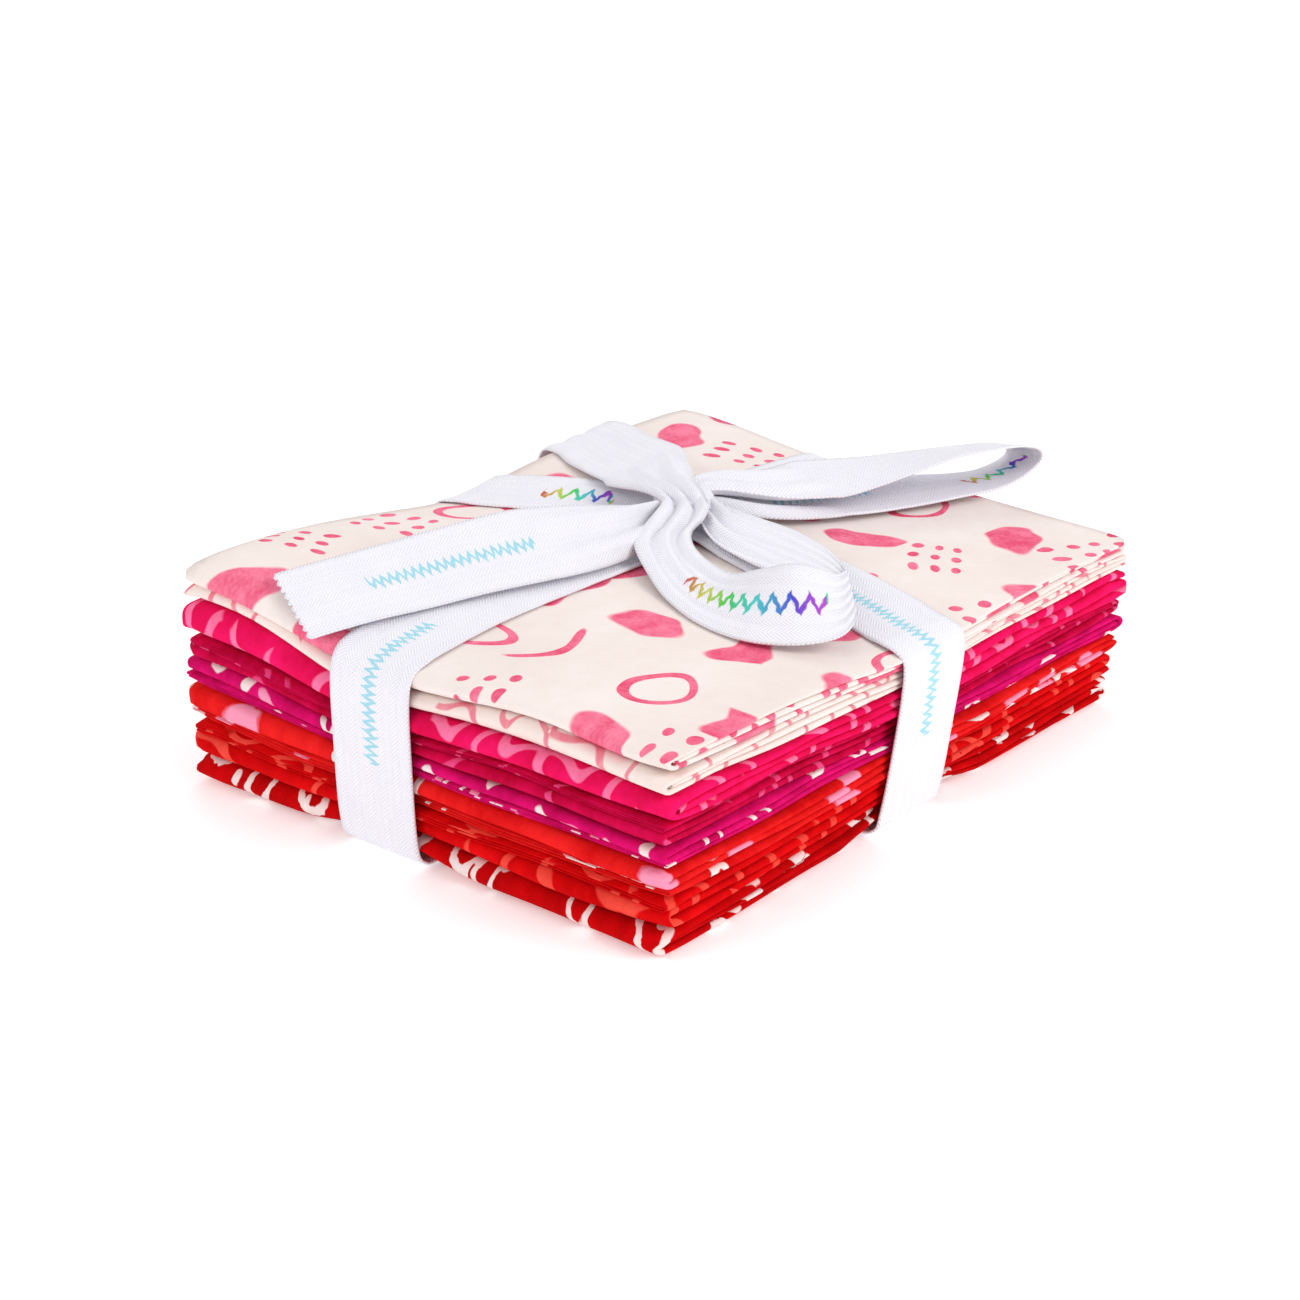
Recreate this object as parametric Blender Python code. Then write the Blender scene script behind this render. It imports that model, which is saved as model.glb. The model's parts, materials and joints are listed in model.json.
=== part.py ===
"""A bundle of eight folded fat quarters tied both ways with a twill ribbon.

Metres, Z up. The origin is at the bottom centre of the stack. X runs along the stack's long side, Y along
its short side. The near corner is at -X -Y, the left one at -X +Y, the right one at +X -Y.
"""
import math
from collections import namedtuple

import bmesh
import bpy
import numpy as np

MM = 0.001

# Driving sizes, in millimetres
STACK_LENGTH = 190.0
STACK_DEPTH = 149.0
STRIPS = 3
PIECE_GAP = 0.55
STRIP_GAP = 0.45
EDGE_ROUND = 0.9
FOLD_STEPS = 4
RIBBON_THICK = 1.0
RIBBON_SEAT = 0.35
CLOTH_ROUGHNESS = 0.85

# One row for each fat quarter, from the top of the stack down. near, left, right and back are its
# thickness at the four corners. first_turn is the side where its lowest strip turns up. The next four are
# how far it stands out past the nominal edge at the start and end of its -X edge and its +X edge, and the
# last two at its -Y and +Y edges. set_back is how far its free strip ends stay behind the turned folds.
Quarter = namedtuple(
    "Quarter", "name near left right back first_turn x0_near x0_left x1_right x1_back y0 y1 set_back red green blue")
QUARTERS = (
    Quarter("fat_quarter_1", 4.6, 5.0, 3.6, 6.0, "left", -0.6, 0.4, 0.6, 0.8, 0.2, -1.8, 0.8, 0.93, 0.86, 0.78),
    Quarter("fat_quarter_2", 5.8, 4.8, 3.6, 6.0, "right", 0.6, -0.6, 0.2, 0.4, 0.0, -0.6, 1.6, 0.93, 0.84, 0.76),
    Quarter("fat_quarter_3", 6.2, 8.4, 8.6, 6.2, "left", 0.9, 1.2, 0.8, 0.2, 0.6, 0.6, 3.4, 0.83, 0.05, 0.27),
    Quarter("fat_quarter_4", 6.0, 4.8, 4.6, 6.0, "left", -0.2, 1.0, -0.8, -0.4, -1.4, 0.2, 0.6, 0.56, 0.02, 0.18),
    Quarter("fat_quarter_5", 4.6, 6.3, 4.6, 6.0, "right", 0.4, 0.6, -0.4, 0.0, -0.8, -0.4, 1.4, 0.62, 0.03, 0.33),
    Quarter("fat_quarter_6", 6.9, 10.6, 5.0, 6.4, "right", 1.4, 1.8, -2.2, -1.2, 0.2, 0.4, 2.6, 0.80, 0.05, 0.04),
    Quarter("fat_quarter_7", 8.2, 8.2, 6.8, 6.4, "left", 0.2, 1.6, -3.4, -2.0, -0.8, -0.8, 0.9, 0.68, 0.03, 0.03),
    Quarter("fat_quarter_8", 6.5, 7.6, 6.4, 6.0, "right", 1.0, 0.6, -4.2, -2.4, -1.6, -2.0, 1.6, 0.55, 0.02, 0.03),
)

# Where the ribbon presses on the stack: its centre lines, in millimetres, and how deep it bites
WRAP_LONG_Y = 9.0
WRAP_LONG_TOP_Y = 13.0
WRAP_CROSS_X = -0.5
PRESS_WIDTH = 29.0
PRESS_LEFT = 0.11
PRESS_RIGHT = 0.07
PRESS_NEAR = 0.065
PRESS_FAR = 0.09
PRESS_REACH = 30.0
UNDER_HALF = 14.0
UNDER_CROSS_HALF = 18.5
UNDER_RAMP = 9.0
EDGE_LIFT = 2.2
LIFT_HALF = 34.0
EDGE_LIFT_REACH = 16.0

# The soft hump of loosely folded cloth by the left corner
PUFF_X = -66.0
PUFF_Y = 60.0
PUFF_RISE = 2.4
PUFF_REACH = 48.0

# Where the sections of a fat quarter are taken, in millimetres
ALONG_X = (-87.0, -55.0, -16.0, 16.0, 55.0, 87.0)
ALONG_Y = (-67.0, -34.0, -6.0, 24.0, 67.0)
UNDER_ALONG_X = (-87.0, -55.0, -28.0, -19.0, 18.0, 27.0, 55.0, 87.0)
UNDER_ALONG_Y = (-67.0, -34.0, -14.0, -5.0, 23.0, 32.0, 67.0)


# Rows along each run of the ribbon, in millimetres and degrees. x y z is the middle of its width. on_top is
# 1 where z counts from the stack's top and 0 where it counts from the surface below. heading and tilt turn
# its width from +X towards +Y and up. width is what is left of it where it is gathered into the knot.
Row = namedtuple("Row", "x y z on_top heading tilt width")
WRAP_LONG = (
    Row(24.0, 14.0, 0.95, 1, 90, 0, 21.0),
    Row(0.0, 12.5, 0.95, 1, 90, 0, 24.0),
    Row(-30.0, 12.2, 0.95, 1, 90, 0, 24.5),
    Row(-60.0, 12.5, 0.95, 1, 90, 0, 24.5),
    Row(-82.0, 11.8, 1.0, 1, 90, 0, 24.5),
    Row(-93.2, 10.8, 1.3, 1, 90, 0, 24.5),
    Row(-97.4, 10.2, 42.5, 0, 90, 0, 24.5),
    Row(-98.2, 9.6, 25.0, 0, 90, 0, 24.5),
    Row(-97.4, 9.0, 7.0, 0, 90, 0, 24.5),
    Row(-94.0, 9.0, 1.5, 0, 90, 0, 24.5),
    Row(-85.0, 9.0, 0.5, 0, 90, 0, 24.5),
    Row(-45.0, 9.0, 0.5, 0, 90, 0, 24.5),
    Row(0.0, 9.0, 0.5, 0, 90, 0, 24.5),
    Row(45.0, 9.0, 0.5, 0, 90, 0, 24.5),
    Row(84.0, 9.0, 0.5, 0, 90, 0, 24.5),
    Row(92.6, 9.2, 1.6, 0, 90, 0, 24.5),
    Row(96.2, 9.6, 7.0, 0, 90, 0, 24.5),
    Row(97.4, 10.5, 22.0, 0, 90, 0, 24.5),
    Row(97.8, 12.0, 36.0, 0, 90, 0, 24.5),
    Row(95.2, 13.0, 0.9, 1, 90, 0, 24.5),
    Row(82.0, 13.6, 1.0, 1, 90, 0, 24.5),
    Row(55.0, 14.0, 0.95, 1, 90, 0, 24.0),
)
WRAP_CROSS = (
    Row(22.5, 14.0, 0.95, 1, 0, 0, 20.0),
    Row(21.8, -1.5, 0.95, 1, -9, 0, 21.5),
    Row(19.5, -16.0, 0.95, 1, -12, 0, 23.5),
    Row(15.5, -34.0, 0.95, 1, -15, 0, 24.5),
    Row(9.5, -54.0, 0.95, 1, -16, 0, 24.5),
    Row(5.0, -66.0, 1.0, 1, -10, 1, 24.5),
    Row(2.8, -75.0, 0.9, 1, -4, 0, 24.5),
    Row(1.6, -77.4, 36.5, 0, -1, -6, 24.5),
    Row(-1.2, -77.6, 22.0, 0, 0, -10, 24.5),
    Row(-4.0, -76.2, 6.5, 0, 0, -6, 24.5),
    Row(-4.4, -73.2, 1.5, 0, 0, 0, 24.5),
    Row(-4.4, -65.0, 0.5, 0, 0, 0, 24.5),
    Row(-3.5, -40.0, 0.5, 0, 0, 0, 24.5),
    Row(-2.0, -16.0, 0.5, 0, 0, 0, 24.5),
    Row(-1.0, 9.0, 0.5, 0, 0, 0, 24.5),
    Row(0.5, 35.0, 0.5, 0, 0, 0, 24.5),
    Row(2.0, 65.0, 0.5, 0, 0, 0, 24.5),
    Row(2.2, 73.4, 1.6, 0, 0, 0, 24.5),
    Row(2.4, 76.8, 7.0, 0, 0, 0, 24.5),
    Row(2.8, 77.8, 22.0, 0, 2, 0, 24.5),
    Row(3.6, 77.4, 40.0, 0, 4, 0, 24.5),
    Row(4.2, 73.6, 1.3, 1, 8, 0, 24.5),
    Row(6.5, 66.0, 1.0, 1, 14, 0, 24.5),
    Row(11.5, 54.0, 0.95, 1, 20, 0, 24.5),
    Row(18.0, 40.0, 0.95, 1, 20, 0, 23.5),
    Row(21.5, 28.0, 0.95, 1, 10, 0, 21.5),
)
LOOP_RIGHT = (
    Row(31.0, 10.0, 52.9, 0, 50, 5, 12.0),
    Row(39.0, 1.5, 51.4, 0, 58, 5, 18.0),
    Row(55.6, -6.1, 49.5, 0, 67, 4, 24.5),
    Row(72.6, -12.9, 47.9, 0, 69, 2, 24.5),
    Row(89.0, -19.2, 46.5, 0, 67, -4, 24.5),
    Row(99.5, -23.8, 46.0, 0, 66, -8, 24.5),
    Row(107.5, -26.8, 46.8, 0, 63, -13, 24.5),
    Row(113.6, -29.2, 49.5, 0, 58, -16, 24.5),
    Row(113.4, -29.8, 52.8, 0, 54, -17, 24.5),
    Row(107.0, -28.2, 55.2, 0, 54, -16, 24.5),
    Row(97.0, -24.3, 56.0, 0, 58, -15, 24.5),
    Row(86.0, -18.8, 55.9, 0, 64, -13, 24.5),
    Row(74.0, -13.7, 55.2, 0, 68, -7, 24.5),
    Row(62.9, -9.2, 54.9, 0, 69, 0, 24.5),
    Row(53.0, -5.0, 54.9, 0, 69, 5, 24.5),
    Row(42.0, 1.0, 55.2, 0, 62, 9, 19.0),
    Row(32.0, 10.5, 56.4, 0, 50, 10, 12.0),
)
LOOP_FRONT = (
    Row(15.5, 6.0, 57.2, 0, -50, 0, 11.0),
    Row(7.0, 0.5, 55.9, 0, -46, 0, 16.0),
    Row(-2.0, -6.0, 54.4, 0, -38, 2, 20.0),
    Row(-11.0, -14.0, 53.0, 0, -26, 6, 23.5),
    Row(-18.0, -23.0, 52.4, 0, -12, 9, 24.5),
    Row(-22.0, -32.0, 52.8, 0, 2, 14, 24.5),
    Row(-21.5, -41.5, 53.8, 0, 13, 21, 24.5),
    Row(-16.0, -48.5, 53.6, 0, 23, 21, 24.5),
    Row(-8.0, -53.0, 52.8, 0, 32, 17, 24.5),
    Row(0.0, -54.5, 52.6, 0, 38, 13, 24.5),
    Row(4.6, -53.0, 51.1, 0, 41, 11, 24.5),
    Row(5.4, -48.5, 49.7, 0, 41, 8, 24.5),
    Row(6.8, -41.0, 49.5, 0, 38, 6, 24.5),
    Row(9.5, -30.0, 50.3, 0, 32, 6, 24.5),
    Row(13.5, -18.0, 51.3, 0, 20, 5, 23.0),
    Row(18.5, -6.0, 52.6, 0, 8, 4, 17.0),
    Row(23.0, 3.5, 54.2, 0, 0, 0, 11.0),
)
TAIL_LEFT = (
    Row(14.0, 19.5, 54.6, 0, 80, 8, 11.0),
    Row(5.0, 20.0, 55.9, 0, 82, 22, 15.0),
    Row(-7.0, 19.0, 57.6, 0, 84, 30, 20.0),
    Row(-20.0, 18.0, 58.2, 0, 80, 29, 23.5),
    Row(-35.0, 19.6, 57.8, 0, 74, 24, 24.5),
    Row(-50.4, 23.0, 57.0, 0, 72, 19, 24.5),
    Row(-66.0, 27.6, 56.5, 0, 72, 17, 24.5),
    Row(-78.0, 31.4, 56.8, 0, 70, 14, 24.5),
    Row(-85.6, 34.5, 56.6, 0, 68, 13, 24.5),
    Row(-91.5, 37.1, 56.0, 0, 66, 13, 24.5),
)
TAIL_BACK = (
    Row(25.8, 22.8, 55.3, 0, 146, -13, 13.2),
    Row(29.4, 29.0, 54.9, 0, 155, -11, 20.0),
    Row(34.8, 38.2, 54.2, 0, 159, -10, 24.5),
    Row(39.2, 48.2, 53.5, 0, 157, -11, 24.5),
    Row(43.2, 57.0, 52.8, 0, 155, -11, 24.1),
    Row(47.5, 65.0, 52.5, 0, 158, -9, 24.1),
    Row(49.6, 72.4, 51.6, 0, 163, -9, 24.1),
    Row(50.9, 77.2, 47.7, 0, 173, -13, 24.5),
    Row(51.5, 79.1, 40.5, 0, 179, -12, 24.5),
    Row(52.0, 80.0, 31.0, 0, 181, -9, 24.3),
    Row(52.1, 80.3, 21.5, 0, 181, -7, 24.4),
)
# Steps between two rows, columns of points across, and whether the run closes on itself
Run = namedtuple("Run", "name rows steps columns closed")
RUNS = (
    Run("ribbon_wrap_long", WRAP_LONG, 2, 3, True),
    Run("ribbon_wrap_cross", WRAP_CROSS, 2, 3, True),
    Run("ribbon_loop_right", LOOP_RIGHT, 2, 2, False),
    Run("ribbon_loop_front", LOOP_FRONT, 2, 2, False),
    Run("ribbon_tail_left", TAIL_LEFT, 2, 2, False),
    Run("ribbon_tail_back", TAIL_BACK, 2, 2, False),
)
RIBBON_COLOUR = (0.83, 0.84, 0.89)
KNOT_CENTRE = (22.2, 13.2, 55.7)
KNOT_HALF = (8.6, 6.8, 3.9)
KNOT_HEADING = -67.0
KNOT_ROUND = 16
KNOT_SQUARENESS = 0.8


def corner_mix(quarter, x, y):
    """Blend a fat quarter's four corner thicknesses over the stack, straight along X and along Y."""
    u = x / STACK_LENGTH + 0.5
    v = y / STACK_DEPTH + 0.5
    near_side = quarter.near * (1 - u) + quarter.right * u
    far_side = quarter.left * (1 - u) + quarter.back * u
    return near_side * (1 - v) + far_side * v


def falloff(distance, reach):
    """One at zero distance, falling smoothly to nothing at the reach on either side."""
    t = np.clip(np.abs(distance) / reach, 0.0, 1.0)
    return (1 - t * t) ** 2


def plateau(distance, half, ramp):
    """One inside the half width, falling straight to nothing over the ramp beyond it."""
    return 1 - np.clip((np.abs(distance) - half) / ramp, 0.0, 1.0)


def squeeze(x, y):
    """How far the ribbon presses the stack down: near each edge that it crosses, dying out inward."""
    left = PRESS_LEFT * np.exp(-(x + STACK_LENGTH / 2) / PRESS_REACH)
    right = PRESS_RIGHT * np.exp((x - STACK_LENGTH / 2) / PRESS_REACH)
    near = PRESS_NEAR * np.exp(-(y + STACK_DEPTH / 2) / PRESS_REACH)
    far = PRESS_FAR * np.exp((y - STACK_DEPTH / 2) / PRESS_REACH)
    under_long = np.exp(-((y - WRAP_LONG_TOP_Y) / PRESS_WIDTH) ** 2)
    under_cross = np.exp(-((x - WRAP_CROSS_X) / PRESS_WIDTH) ** 2)
    return 1 - (left + right) * under_long - (near + far) * under_cross


def lift(x, y):
    """How far the ribbon pulls the stack's bottom edges up off the surface."""
    from_x_edge = STACK_LENGTH / 2 - np.abs(x)
    from_y_edge = STACK_DEPTH / 2 - np.abs(y)
    long_part = falloff(y - WRAP_LONG_Y, LIFT_HALF) * falloff(np.maximum(from_x_edge, 0), EDGE_LIFT_REACH)
    cross_part = falloff(x - WRAP_CROSS_X, LIFT_HALF) * falloff(np.maximum(from_y_edge, 0), EDGE_LIFT_REACH)
    return EDGE_LIFT * (long_part + cross_part)


def recess(x, y):
    """Room under the lowest fat quarter for the ribbon, and for both runs where they cross."""
    runs = plateau(y - WRAP_LONG_Y, UNDER_HALF, UNDER_RAMP)
    runs = runs + plateau(x - WRAP_CROSS_X, UNDER_CROSS_HALF, UNDER_RAMP)
    return (RIBBON_THICK + RIBBON_SEAT) * runs


def level(index, x, y):
    """Height of the underside of a fat quarter, counted from the top, or of the stack's top at -1."""
    below = sum(corner_mix(q, x, y) for q in QUARTERS[index + 1:])
    total = below + sum(corner_mix(q, x, y) for q in QUARTERS[:index + 1])
    raised = lift(x, y)
    puff = PUFF_RISE * falloff(x - PUFF_X, PUFF_REACH) * falloff(y - PUFF_Y, PUFF_REACH)
    return raised + (total * squeeze(x, y) + puff - raised) * below / total


def stack_top(x, y):
    """Height of the stack's top at some points, straight between the stations where its sections are taken."""
    stations_x = np.array((-STACK_LENGTH / 2, *ALONG_X, STACK_LENGTH / 2))
    stations_y = np.array((-STACK_DEPTH / 2, *ALONG_Y, STACK_DEPTH / 2))
    lines = np.array([np.interp(x, stations_x, level(-1, stations_x, y_line)) for y_line in stations_y])
    row = np.clip(np.searchsorted(stations_y, y) - 1, 0, len(stations_y) - 2)
    share = np.clip((y - stations_y[row]) / (stations_y[row + 1] - stations_y[row]), 0.0, 1.0)
    points = np.arange(len(x))
    return lines[row, points] * (1 - share) + lines[row + 1, points] * share


def fold_height(index, x, y, share):
    """Height at a share of one fat quarter's own thickness, from 0 underneath to 1 on top."""
    low = level(index, x, y)
    high = level(index - 1, x, y)
    if index == len(QUARTERS) - 1:
        low = low + recess(x, y)
    return low + (high - low) * share


def skin(name, side_a, side_b, colour, closed=False):
    """Close two facing grids of points, each rows by columns by xyz in millimetres, into one solid.

    A closed skin joins its last row to its first, any other has a cap at each end.
    """
    rows, columns, _ = side_a.shape
    count = rows * columns
    index = np.arange(count).reshape(rows, columns)
    if closed:
        index = np.concatenate([index, index[:1]])
    quads = []

    def patch(corner_grid):
        """Add the quads of a grid of vertex numbers."""
        quads.append(np.stack([corner_grid[:-1, :-1], corner_grid[1:, :-1], corner_grid[1:, 1:],
                               corner_grid[:-1, 1:]], axis=-1).reshape(-1, 4))

    patch(index)
    patch(index[:, ::-1] + count)
    if not closed:
        patch(np.stack([index[0], index[0] + count]))
        patch(np.stack([index[-1] + count, index[-1]]))
    patch(np.stack([index[:, 0] + count, index[:, 0]], axis=1))
    patch(np.stack([index[:, -1], index[:, -1] + count], axis=1))
    points = np.concatenate([side_a.reshape(-1, 3), side_b.reshape(-1, 3)]) * MM
    mesh = bpy.data.meshes.new(name)
    mesh.from_pydata(points.tolist(), [], np.concatenate(quads).tolist())
    tidy = bmesh.new()
    tidy.from_mesh(mesh)
    bmesh.ops.triangulate(tidy, faces=tidy.faces[:])
    bmesh.ops.recalc_face_normals(tidy, faces=tidy.faces[:])
    tidy.to_mesh(mesh)
    tidy.free()
    mesh.shade_smooth()
    mesh.set_sharp_from_angle(angle=math.radians(50))
    solid = bpy.data.objects.new(name, mesh)
    bpy.context.collection.objects.link(solid)
    mesh.materials.append(finish(name, colour, CLOTH_ROUGHNESS))
    return solid


def finish(name, colour, roughness):
    """A plain Principled finish for one piece."""
    material = bpy.data.materials.new(name)
    material.use_nodes = True
    shader = material.node_tree.nodes["Principled BSDF"]
    shader.inputs["Base Color"].default_value = (*colour, 1.0)
    shader.inputs["Roughness"].default_value = roughness
    shader.inputs["Metallic"].default_value = 0.0
    return material


def serpentine(quarter, y, along_x, thin):
    """Both faces of the back-and-forth section at one Y: arrays of x and of the share of the thickness.

    Three level strips are joined by a half-round turn at one end and another at the other end. thin is
    the part of a strip's thickness that is left at this section, less than 1 where the cloth ends.
    """
    mean = (quarter.near + quarter.left + quarter.right + quarter.back) / 4
    usable = 1 - PIECE_GAP / mean
    gap = STRIP_GAP / mean
    strip = (usable - gap * (STRIPS - 1)) / STRIPS
    half = strip * thin / 2
    turn_depth = mean * (strip * thin + gap / 2)
    inner_depth = turn_depth - mean * strip * thin
    v = y / STACK_DEPTH + 0.5
    ends = {
        -1: -STACK_LENGTH / 2 - (quarter.x0_near * (1 - v) + quarter.x0_left * v),
        1: STACK_LENGTH / 2 + (quarter.x1_right * (1 - v) + quarter.x1_back * v),
    }
    heading = 1 if quarter.first_turn == "right" else -1
    centres = [strip / 2 + (strip + gap) * i for i in range(STRIPS)]
    angles = np.linspace(-math.pi / 2, math.pi / 2, FOLD_STEPS + 1)

    side_a = []
    side_b = []
    free = ends[-heading] + heading * quarter.set_back
    for taper, along in ((0.5, 0.0), (1.0, EDGE_ROUND)):
        side_a.append((free + heading * along, centres[0] - half * taper))
        side_b.append((free + heading * along, centres[0] + half * taper))
    for i in range(STRIPS):
        stations = along_x if heading > 0 else along_x[::-1]
        outward = 1 if i % 2 == 0 else -1
        side_a.extend((x, centres[i] - outward * half) for x in stations)
        side_b.extend((x, centres[i] + outward * half) for x in stations)
        if i == STRIPS - 1:
            break
        middle = (centres[i] + centres[i + 1]) / 2
        outer_rise = (centres[i + 1] - centres[i]) / 2 + half
        inner_rise = (centres[i + 1] - centres[i]) / 2 - half
        root = ends[heading] - heading * turn_depth
        outer = [(root + heading * turn_depth * math.cos(a), middle + outer_rise * math.sin(a)) for a in angles]
        inner = [(root + heading * inner_depth * math.cos(a), middle + inner_rise * math.sin(a)) for a in angles]
        side_a.extend(outer if outward > 0 else inner)
        side_b.extend(inner if outward > 0 else outer)
        heading = -heading
    last = 1 if (STRIPS - 1) % 2 == 0 else -1
    free = ends[heading] - heading * quarter.set_back
    for taper, along in ((1.0, EDGE_ROUND), (0.5, 0.0)):
        side_a.append((free - heading * along, centres[-1] - last * half * taper))
        side_b.append((free - heading * along, centres[-1] + last * half * taper))
    return np.array(side_a), np.array(side_b)


def fold_quarter(index):
    """One fat quarter: the serpentine section carried along Y and pressed into its place in the stack."""
    quarter = QUARTERS[index]
    lowest = index == len(QUARTERS) - 1
    along_x = UNDER_ALONG_X if lowest else ALONG_X
    along_y = UNDER_ALONG_Y if lowest else ALONG_Y
    start = -STACK_DEPTH / 2 - quarter.y0
    end = STACK_DEPTH / 2 + quarter.y1
    stations = [(start, 0.5), (start + EDGE_ROUND, 1.0)]
    stations += [(y, 1.0) for y in along_y]
    stations += [(end - EDGE_ROUND, 1.0), (end, 0.5)]
    faces = ([], [])
    for y, thin in stations:
        for face, points in zip(faces, serpentine(quarter, y, along_x, thin)):
            x, share = points.T
            face.append(np.stack([x, np.full_like(x, y), fold_height(index, x, np.full_like(x, y), share)], axis=-1))
    skin(quarter.name, np.array(faces[0]), np.array(faces[1]), (quarter.red, quarter.green, quarter.blue))


def smooth_rows(rows, steps, closed):
    """Catmull-Rom values through the rows, the given number of steps between two of them."""
    values = np.array(rows, dtype=float)
    if closed:
        padded = np.concatenate([values[-1:], values, values[:2]])
        spans = len(values)
    else:
        padded = np.concatenate([values[:1], values, values[-1:]])
        spans = len(values) - 1
    t = (np.arange(steps) / steps)[None, :, None]
    before, here, after, later = (padded[i:i + spans, None, :] for i in range(4))
    curve = 0.5 * (2 * here + (after - before) * t + (2 * before - 5 * here + 4 * after - later) * t ** 2
                   + (3 * here - before - 3 * after + later) * t ** 3)
    curve = curve.reshape(-1, values.shape[1])
    return curve if closed else np.concatenate([curve, values[-1:]])


def lay_ribbon(run):
    """One run of the ribbon: a flat band carried along its rows, over whatever it crosses."""
    x, y, z, on_top, heading, tilt, width = smooth_rows(run.rows, run.steps, run.closed).T
    heading = np.radians(heading)
    tilt = np.radians(tilt)
    across = np.stack([np.cos(tilt) * np.cos(heading), np.cos(tilt) * np.sin(heading), np.sin(tilt)], axis=-1)
    z = np.maximum(z, RIBBON_THICK / 2 * (on_top < 0.5))
    if run.name == "ribbon_wrap_cross":
        from_long = y - np.where(on_top > 0.5, WRAP_LONG_TOP_Y, WRAP_LONG_Y)
        z = z + (RIBBON_THICK + RIBBON_SEAT) * plateau(from_long, UNDER_HALF, UNDER_RAMP)
    middle = np.stack([x, y, z], axis=-1)
    lines = []
    for side in np.linspace(-0.5, 0.5, run.columns):
        line = middle + across * (width * side)[:, None]
        line[:, 2] += on_top * stack_top(line[:, 0], line[:, 1])
        lines.append(line)
    lines = np.stack(lines, axis=1)
    centre = lines.mean(axis=1)
    if run.closed:
        along = np.roll(centre, -1, axis=0) - np.roll(centre, 1, axis=0)
    else:
        along = np.gradient(centre, axis=0)
    outward = np.cross(along, across)
    outward /= np.linalg.norm(outward, axis=1, keepdims=True)
    rise = outward[:, None] * RIBBON_THICK / 2
    side_a = lines + rise
    side_b = lines - rise
    skin(run.name, side_a, side_b, RIBBON_COLOUR, closed=run.closed)


def tie_knot():
    """The turn of ribbon that holds the bow: a soft lump with squared shoulders, longer along its heading."""
    mesh = bpy.data.meshes.new("ribbon_knot")
    ball = bmesh.new()
    bmesh.ops.create_uvsphere(ball, u_segments=KNOT_ROUND, v_segments=KNOT_ROUND // 2, radius=1.0)
    turn = math.radians(KNOT_HEADING)
    for vertex in ball.verts:
        lengthwise, crosswise, rise = (
            math.copysign(abs(part) ** KNOT_SQUARENESS, part) * half for part, half in zip(vertex.co, KNOT_HALF))
        vertex.co.x = (KNOT_CENTRE[0] + lengthwise * math.cos(turn) - crosswise * math.sin(turn)) * MM
        vertex.co.y = (KNOT_CENTRE[1] + lengthwise * math.sin(turn) + crosswise * math.cos(turn)) * MM
        vertex.co.z = (KNOT_CENTRE[2] + rise) * MM
    bmesh.ops.triangulate(ball, faces=ball.faces[:])
    ball.to_mesh(mesh)
    ball.free()
    mesh.shade_smooth()
    mesh.materials.append(finish("ribbon_knot", RIBBON_COLOUR, CLOTH_ROUGHNESS))
    bpy.context.collection.objects.link(bpy.data.objects.new("ribbon_knot", mesh))


def clear_scene():
    """Remove whatever the scene starts with."""
    for item in list(bpy.data.objects):
        bpy.data.objects.remove(item, do_unlink=True)


def build():
    """Make the whole bundle."""
    clear_scene()
    for index in range(len(QUARTERS)):
        fold_quarter(index)
    for run in RUNS:
        lay_ribbon(run)
    tie_knot()


build()
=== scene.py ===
"""The looks of a bundle of eight folded fat quarters tied both ways with a twill ribbon.

Lengths in the tables are in millimetres and are turned to metres when a mesh is made. X runs along the
stack's long side, Y along its short side and Z up, with the origin under the middle of the stack.
"""
import json
import math
from collections import namedtuple

import bpy
import numpy as np
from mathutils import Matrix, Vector
from mathutils.bvhtree import BVHTree

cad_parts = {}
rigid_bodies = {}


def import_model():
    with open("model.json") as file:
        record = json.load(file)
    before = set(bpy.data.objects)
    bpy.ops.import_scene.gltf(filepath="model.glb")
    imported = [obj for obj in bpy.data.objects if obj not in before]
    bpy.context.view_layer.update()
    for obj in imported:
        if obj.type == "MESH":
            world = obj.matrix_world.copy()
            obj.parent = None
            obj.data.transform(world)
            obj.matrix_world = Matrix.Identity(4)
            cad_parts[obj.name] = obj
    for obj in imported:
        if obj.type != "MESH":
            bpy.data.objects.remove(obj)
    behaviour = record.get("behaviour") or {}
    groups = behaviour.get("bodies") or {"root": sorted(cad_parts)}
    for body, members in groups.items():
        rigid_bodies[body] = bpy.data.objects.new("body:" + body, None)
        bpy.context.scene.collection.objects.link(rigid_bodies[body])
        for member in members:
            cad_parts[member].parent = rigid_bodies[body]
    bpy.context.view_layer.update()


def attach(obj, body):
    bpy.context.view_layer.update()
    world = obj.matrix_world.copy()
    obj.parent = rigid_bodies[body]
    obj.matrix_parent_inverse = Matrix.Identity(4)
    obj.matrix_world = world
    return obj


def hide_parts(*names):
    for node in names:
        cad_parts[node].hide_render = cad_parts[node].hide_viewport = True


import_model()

MM = 0.001

# The stack, as the solids have it, and the flat size of each cut in metres
STACK_LENGTH = 190.0
STACK_DEPTH = 149.0
STRIPS = 3
LAYERS = 3
PIECE_GAP = 0.35
STRIP_GAP = 0.16
FLAT_CUT = (0.457, 0.559)

# The cloth's thickness, and how many places of its grid lie on each run and round each turn of its folds.
# Crowding draws the places of a run towards its two ends.
CLOTH_THICK = 0.3
RUN_PLACES = 38
TURN_PLACES = 9
SIDE_RUN_PLACES = 28
SIDE_TURN_PLACES = 5
CROWDING = 0.35

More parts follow.
